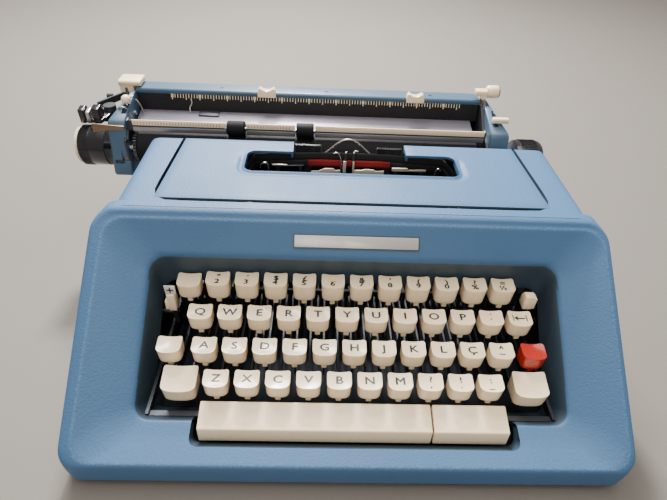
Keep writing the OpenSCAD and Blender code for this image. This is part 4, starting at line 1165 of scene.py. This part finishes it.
left_cap = side_piece("left_cap", cap_side, -193, -177.9, cap_blue, 1.4, 3)
narrow(left_cap, -177.9, -193, -181.6, 70, 104)
cut(left_cap,
    [prism("hole", circle(*bore, 24), -200, -170, side_place) for bore in bores]
    + [block("tool", -200, -170, 107, 117, 78, 86.2),
       block("tool", -184.4, -176, 60, 68.6, 94, 112),
       block("tool", -190, -183, 60, 68.2, 92, 95.4),
       block("tool", -182.6, -178.6, 82, 101, 112, 140),
       block("tool", -195, -170, 111.3, 130, 130.4, 140)])
crisp(left_cap)
shelf = prism("shelf", round_outline(-206, 96, -181.7, 112, 1.5), 114, 118, None, dark_steel)
cut(shelf, [prism("tool", circle(-200, 104, 3.1, 20), 100, 130),
            block("tool", -189, -181, 90, 130, 110, 140)])
left_parts = [
    left_cap,
    crisp(shelf),
    side_piece("slot_plate", [(68.2, 94.4), (69, 94.4), (72.6, 111.6), (71.6, 111.6)], -184.2, -178.6,
               bronze, 0.2),
    side_piece("slot_catch", [(66.4, 93), (68, 93), (68, 95), (66.8, 95)], -188, -184, dark_steel, 0.2),
    prism("bracket",
          [(-209.6, 103.4), (-204.6, 112.2), (-192.4, 131), (-191, 130), (-203, 111), (-208.2, 102.6)],
          122, 127.6, None, dark_steel),
    rod("bracket_stud", -206, -201.4, 118, 127, 2, dark_steel, 20),
    block("bracket_foot", -193, -181.8, 128, 131.4, 117, 127.4, dark_steel, 0.3),
    front_piece("bronze_strip",
                [(-203, 117.5), (-202.5, 125), (-177.9, 123.6), (-177.9, 120.6), (-190, 119.8)], 70.2,
                70.9, bronze, 0.2)]
done(join("end_cap_left_shell", left_parts), "carriage", "cap_blue", "end_cap_left")
right_cap = side_piece("right_cap", cap_side, 114, 130, cap_blue, 1.4, 3)
narrow(right_cap, 114, 130, 119, 72, 106)
cut(right_cap,
    [prism("hole", circle(*bore, 24), 110, 134, side_place) for bore in bores]
    + [block("tool", 110, 134, 107, 117, 78, 86.2),
       block("tool", 110, 118, 106, 130, 110, 140),
       block("tool", 118.4, 121.4, 82, 100, 112, 140)])
done(crisp(right_cap), "carriage", "cap_blue", "end_cap_right")

# Small works between the left end plate and the platen: a pawl, its spring and screws
works = [
    side_piece("pawl", [(70, 112), (75, 118), (84, 124), (90, 122), (82, 116), (76, 108)], -178.6, -177,
               dark_steel, 0.3),
    wire("curl",
         [(-178.2, 88, 121), (-178.6, 88, 128), (-182, 87.6, 131.6), (-186, 87.4, 130.4),
          (-187, 87.6, 127)], 0.7, bright_steel),
    wire("spring_wire",
         [(-172.6, 104, 116.4), (-173.2, 103, 124), (-175, 102, 130.4), (-176.4, 102, 132)], 0.6,
         bright_steel)]
for x0, x1, y, z, radius in ((-181, -176.6, 98, 122, 1.6), (-178, -175.6, 72.5, 104, 1.8),
                             (109.4, 112.4, 72.5, 104, 1.8), (-178, -176, 88, 116, 1.4),
                             (108.6, 113, 88, 118, 1.4)):
    works.append(rod("stud", x0, x1, y, z, radius, bright_steel, 16))
done(join("carriage_works", works), "carriage", "screw_steel")


# Paper support: the blue rail that ties the carriage together at the back, with screws, the
# black scale strip below its front edge and the metallic sheet behind the platen.
rail = side_piece("rail",
                  [(112.7, 133), (112.6, 135.8), (113.8, 137), (128, 136.8), (130, 134.8), (130, 91),
                   (127.6, 91), (127.6, 133.6), (114.6, 133.6), (113.8, 133)], -177.8, 112, cap_blue,
                  0.4)
screw = prism("screw", circle(0, 0, 1.5, 12), 136.7, 137.3, None, dark_steel)
repeat(screw, dark_steel, 3, (89, 0, 0), place=Matrix.Translation((-108.3, 120.5, 0)))
done(join("paper_support_rail", [rail, screw]), "carriage", "cap_blue", "paper_support")

scale_black = finish("scale_black", (0.008, 0.008, 0.010), (0.016, 0.016, 0.018), smooth=0.5, dull=0.65,
                     soil_scale=40, grain_depth=0.06, shine=0.2)
scale_cream = finish("scale_cream", (0.70, 0.60, 0.42), (0.55, 0.46, 0.3), smooth=0.5, soil_scale=200)
strip = side_piece("strip", [(113.1, 133.7), (114.4, 133.7), (109.4, 119.6), (108.1, 120.2)], -177, 111,
                   scale_black, 0.15)
scale_tilt = atan2(114 - 108.1, 136 - 120.2)
scale_place = (Matrix.Translation((0, 114.0, 136)) @ Matrix.Rotation(-scale_tilt, 4, "X")
               @ Matrix.Translation((0, -0.12, 0)))


def tick_row(name, wide, tall, count, step, first):
    """Painted marks of one length along the strip, as copies of the first."""
    tick = prism(name,
                 [(-wide / 2, -2.6), (wide / 2, -2.6), (wide / 2, -2.6 - tall),
                  (-wide / 2, -2.6 - tall)], 0, 0.2, front_place, scale_cream)
    return repeat(tick, scale_cream, count, (step, 0, 0),
                  place=scale_place @ Matrix.Translation((first, 0, 0)))


scale_first, scale_step = -149, 2.3
marks = [
    tick_row("tick", 0.55, 3.6, 107, scale_step, scale_first),
    tick_row("five", 0.75, 4.9, 22, 5 * scale_step, scale_first),
    tick_row("ten", 2.0, 3.2, 11, 10 * scale_step, scale_first)]
done(join("scale_strip_marked", [strip] + marks), "carriage", "scale_black", "scale_strip")

table_paint = finish("table_metallic", (0.19, 0.18, 0.22), (0.14, 0.13, 0.165), smooth=0.42, dull=0.52,
                     soil_scale=18, grain_scale=1500, grain_depth=0.25, metallic=0.55)
sheet_side = ([(107.6, 119.9)] + arc(platen_y, platen_z, platen_r + 2.7, 58, -28, 14)
              + arc(platen_y, platen_z, platen_r + 1.5, -28, 62, 14) + [(107.4, 121)])
table = [
    side_piece("table", sheet_side, -175.7, 105, table_paint, 0.1),
    side_piece("edge_guide", [(101, 119.6), (108, 121.2), (107.9, 121.9), (101, 120.4)], -126.5, -109.5,
               lever_steel, 0.2),
    wire("guide_wire",
         [(-134, 105.4, 120.6), (-134.2, 107, 124), (-132.4, 108.4, 127.6), (-133, 109.6, 131)], 0.5,
         bright_steel)]
done(join("paper_table_sheet", table), "carriage", "table_grey", "paper_table")


# Paper bail: a cream strip with fine black marks over a bright bar, on two side arms, with
# two black rubber rollers that turn on it.
bail_steel = finish("bail_steel", (0.45, 0.43, 0.46), (0.3, 0.29, 0.31), smooth=0.3, dull=0.5,
                    soil_scale=30, grain_scale=1500, grain_depth=0.1, metallic=0.8)
roller_x = (-98, -43)
spans = [(-173, -99), (-83, -44), (-28, 109.5)]
bail = []
for x0, x1 in spans:
    bail.append(side_piece("cream_strip", [(75, 122.5), (76.2, 122.5), (76.4, 126.8), (75.2, 127)], x0,
                           x1, cream, 0.2))
    bail.append(side_piece("bar", [(74.8, 117.2), (76, 117), (76, 121.2), (74.8, 121.2)], x0, x1,
                           bail_steel, 0.25))
    bail.append(block("spine", x0, x1, 75.8, 76.8, 119, 124, dark_steel))
for x0, x1 in ((-101, -83), (-46, -28)):
    bail.append(rod("pin", x0 + 1, x1, 76, 122.3, 1.2, bright_steel, 16))
for x in (-177.4, 109.2):
    bail.append(side_piece("arm",
                           [(74.6, 118), (74.6, 126.4), (79, 127), (98.5, 106), (98.5, 100.5),
                            (93.5, 100.5), (93.5, 105)], x, x + 1.4, dark_steel, 0.3))
bail += [
    rod("pivot", -180, -176.6, 96, 103, 1.5, bright_steel, 20),
    rod("pivot", 110, 114, 96, 103, 1.5, bright_steel, 20),
    side_piece("end_tab", [(74.8, 118), (76.4, 118), (76.4, 126.6), (75, 126.8)], -176.2, -172.8,
               dark_steel, 0.2)]
for x0, x1 in spans[:2]:
    fine = block("fine", -0.15, 0.15, 74.98, 75.2, 123.4, 125.6, legend_ink)
    bail.append(repeat(fine, legend_ink, int((x1 - x0 - 3) / scale_step), (scale_step, 0, 0),
                       place=Matrix.Translation((x0 + 2.2, 0, 0))))
done(join("paper_bail_strip", bail), "bail", "guide_plate", "paper_bail")
rollers = [lathe("roller",
                 [(x, 1.3), (x, 5.2), (x + 0.8, 5.9), (x + 13.2, 5.9), (x + 14, 5.2), (x + 14, 1.3)],
                 rubber, 76, 122.3, 40) for x in roller_x]
done(join("bail_rollers_pair", rollers), "bail_wheels", "foot_rubber", "bail_rollers")


# Return lever: a black plate on a stud, with three finger tabs turned up at its end.
stud_place = Matrix.Rotation(-pi / 2, 4, "Y")
lever_plate = prism("plate",
                    [(-204, 107), (-200, 109.2), (-196.4, 107), (-196.2, 101), (-200.6, 83.6),
                     (-216.6, 84), (-217.4, 93)], 118.4, 121.6, None, gloss_black)
tabs = [
    soften(lever_plate, 0.6),
    shift(rod("hub", -3, 6, 0, 0, 5, dark_steel), Matrix.Translation((-200, 104, 119.4)) @ stud_place),
    shift(rod("stud", -9, 0, 0, 0, 3, dark_steel), Matrix.Translation((-200, 104, 119)) @ stud_place)]
for x, wide, tall, finish_of in ((-217.6, 4.6, 11, gloss_black), (-212, 3.2, 9.4, bright_steel),
                                 (-206.8, 6, 12.2, gloss_black)):
    tab = side_piece("tab", [(0, -1.6), (9, -1.6), (9.6, tall - 1.6), (6.4, tall), (-0.4, tall - 1.2)],
                     0, wide, finish_of, 0.7, 3)
    tabs.append(shift(tab, Matrix.Translation((x, 83.8, 119.6))))
done(join("return_lever_whole", tabs), "return_lever", "frame_steel", "return_lever")


# Cream fittings on the carriage: the margin stops, the release block, the ball of the line
# space selector, and the two levers at the right.
def margin_stop(name, body, node, x):
    """A slider with two ears and a hollow for the finger between them."""
    ear = [(-7.6, 133.2), (-7.6, 136), (-7.2, 138.6), (-6.4, 140.2), (-5.2, 140.7)]
    hollow = [(-4.4 + k * 1.1, 139.8 - 1.4 * sin(k / 8 * pi)) for k in range(9)]
    front = ear + hollow + [(-a, b) for a, b in reversed(ear)]
    face = front_piece("face", [(x + a, b) for a, b in front], 0, 6, cream, 0.5)
    for corner in face.data.vertices:
        y, z = corner.co.y * 1000, corner.co.z * 1000
        deep = 6.0 if z > 137.3 else 1.0
        corner.co.y = (111.5 + (z - 133.2) * 0.08 + y / 6 * deep) * 0.001
    recalc(face)
    clip = side_piece("clip", [(113.4, 137.2), (118, 137.2), (118, 138.4), (113.4, 138.8)], x - 7, x + 7,
                      cream, 0.3)
    done(join(name, [crisp(face), clip]), body, "cream_plastic", node)


for side, x in (("left", -69.6), ("right", 56.1)):
    margin_stop("margin_stop_" + side + "_slider", side + "_stop", "margin_stop_" + side, x)

release = [
    side_piece("block",
               [(114.4, 137.9), (113.2, 141), (114.6, 142.3), (128.6, 142.3), (129.8, 141),
                (129.6, 137.9)], -192.7, -174.2, cream, 0.8, 3),
    side_piece("base", [(115.6, 131.4), (115.2, 138.4), (129.4, 138.4), (129.6, 131.4)], -192.7, -181.2,
               cream, 0.6, 3),
    side_piece("leg", [(112, 114), (110, 122), (116, 137.7), (124, 137.7), (120, 122), (118, 114)],
               -188.2, -186, dark_steel, 0.2),
    rod("pivot", -192, -184, 115, 118, 1.5, bright_steel, 16)]
done(join("carriage_release_left_block", release), "release_left", "cream_plastic",
     "carriage_release_left")

chrome = finish("chrome", (0.75, 0.75, 0.76), (0.55, 0.55, 0.56), smooth=0.1, dull=0.25, soil_scale=60,
                grain_depth=0.03, metallic=1.0)
ball_profile = [(-180.3 - 3.7 * cos(k / 16 * pi), max(3.7 * sin(k / 16 * pi), 0.02)) for k in range(17)]
selector = [
    lathe("ball", ball_profile, cream, 92.6, 135.8, 32),
    wire("stem", [(-180.3, 92.6, 133.6), (-180.4, 92.2, 130), (-180.6, 91.4, 124), (-180.6, 92, 118)],
         1.0, chrome),
    side_piece("plate", [(86.5, 115), (85, 122), (89, 126), (94, 125), (96, 118), (95, 115)], -181.4,
               -180.2, chrome, 0.3),
    rod("pivot", -185.6, -180, 92, 120, 1.5, chrome, 16)]
done(join("line_space_selector_whole", selector), "line_space", "cream_plastic", "line_space_selector")

pull = [
    side_piece("blade", [(112, 114), (111, 122), (112.6, 144), (118.6, 144), (120, 122), (118, 114)],
               113, 115, bronze, 0.4),
    side_piece("sleeve",
               [(112.1, 141.2), (112, 144.6), (113, 145.6), (118.6, 145.6), (119.5, 144.6),
                (119.4, 141.2)], 106.6, 116.2, cream, 0.6, 3),
    block("sleeve_foot", 112.4, 116.1, 112.2, 119.4, 137.6, 142, cream, 0.6),
    lathe("barrel",
          [(115.6, 0.5), (115.6, 4), (117, 5), (120, 5.3), (124.6, 5.3), (125.6, 4.8), (126, 0.5)],
          cream, 116, 143.9, 40),
    rod("disc_edge", 126, 126.6, 116, 143.9, 4.5, bronze, 32),
    rod("pivot", 112.2, 120.2, 115, 118, 1.5, bright_steel, 16)]
done(join("paper_release_lever_whole", pull), "paper_release", "cream_plastic", "paper_release_lever")

small = [
    side_piece("pad", [(82.6, 131), (82.2, 134), (83.2, 135.2), (86.8, 135), (87.4, 131.2)], 116, 129,
               cream, 0.7, 3),
    side_piece("stem", [(88.4, 116), (83.8, 131.4), (87, 131.4), (95, 124), (95, 116)], 118.8, 121,
               bronze, 0.3),
    rod("pivot", 115, 123, 92, 120, 1.5, bright_steel, 16)]
done(join("carriage_release_right_whole", small), "release_right", "cream_plastic",
     "carriage_release_right")


# Pieces that keep their CAD shape: each gets the finish of its real material, and the welded
# edges of the machined ones are broken by a fine bevel.
frame_black = finish("frame_black", (0.022, 0.024, 0.03), (0.045, 0.045, 0.05), smooth=0.42, dull=0.66,
                     soil_scale=30, grain_scale=900, grain_depth=0.15, metallic=0.1)
pan_paint = finish("pan_paint", (0.012, 0.016, 0.022), (0.02, 0.024, 0.03), smooth=0.8, dull=0.9,
                   soil_scale=12, shine=0.15)
key_steel = finish("key_steel", (0.022, 0.026, 0.036), (0.012, 0.014, 0.018), smooth=0.55, dull=0.75,
                   soil_scale=50, grain_scale=1500, grain_depth=0.12, metallic=0.15)
brass = finish("brass", (0.62, 0.45, 0.20), (0.42, 0.30, 0.14), smooth=0.28, dull=0.5, soil_scale=60,
               grain_scale=1400, grain_depth=0.08, metallic=0.95)
foot_rubber = finish("foot_rubber", (0.02, 0.02, 0.021), (0.045, 0.045, 0.045), smooth=0.7, dull=0.9,
                     soil_scale=70, grain_scale=900, grain_depth=0.3)
kept = {"side_frames": frame_black, "carriage_rail": frame_black, "key_comb": pan_paint,
        "spool_cups": frame_black, "mainspring_drum": frame_black, "carriage_frame": frame_black,
        "base_pan": pan_paint, "rubber_feet": foot_rubber, "feed_rollers": foot_rubber,
        "base_screws": bright_steel, "key_fulcrum_shaft": key_steel, "platen_shaft": dark_steel,
        "number_row_levers": key_steel, "upper_row_levers": key_steel, "home_row_levers": key_steel,
        "lower_row_levers": key_steel, "type_segment": key_steel, "typebars": key_steel,
        "centre_typebar": key_steel, "bell": brass, "escapement_wheel": brass,
        "ribbon_spool_left": gloss_black, "ribbon_spool_right": gloss_black}
fine_edge = ("side_frames", "carriage_rail", "carriage_frame", "base_pan", "rubber_feet", "spool_cups")
for name, material in kept.items():
    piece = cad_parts[name]
    piece.data.materials.clear()
    piece.data.materials.append(material)
    if name in fine_edge:
        modifier(piece, "WELD", merge_threshold=0.00002)
        modifier(piece, "BEVEL", width=0.0003, segments=1, limit_method="ANGLE", angle_limit=radians(40))
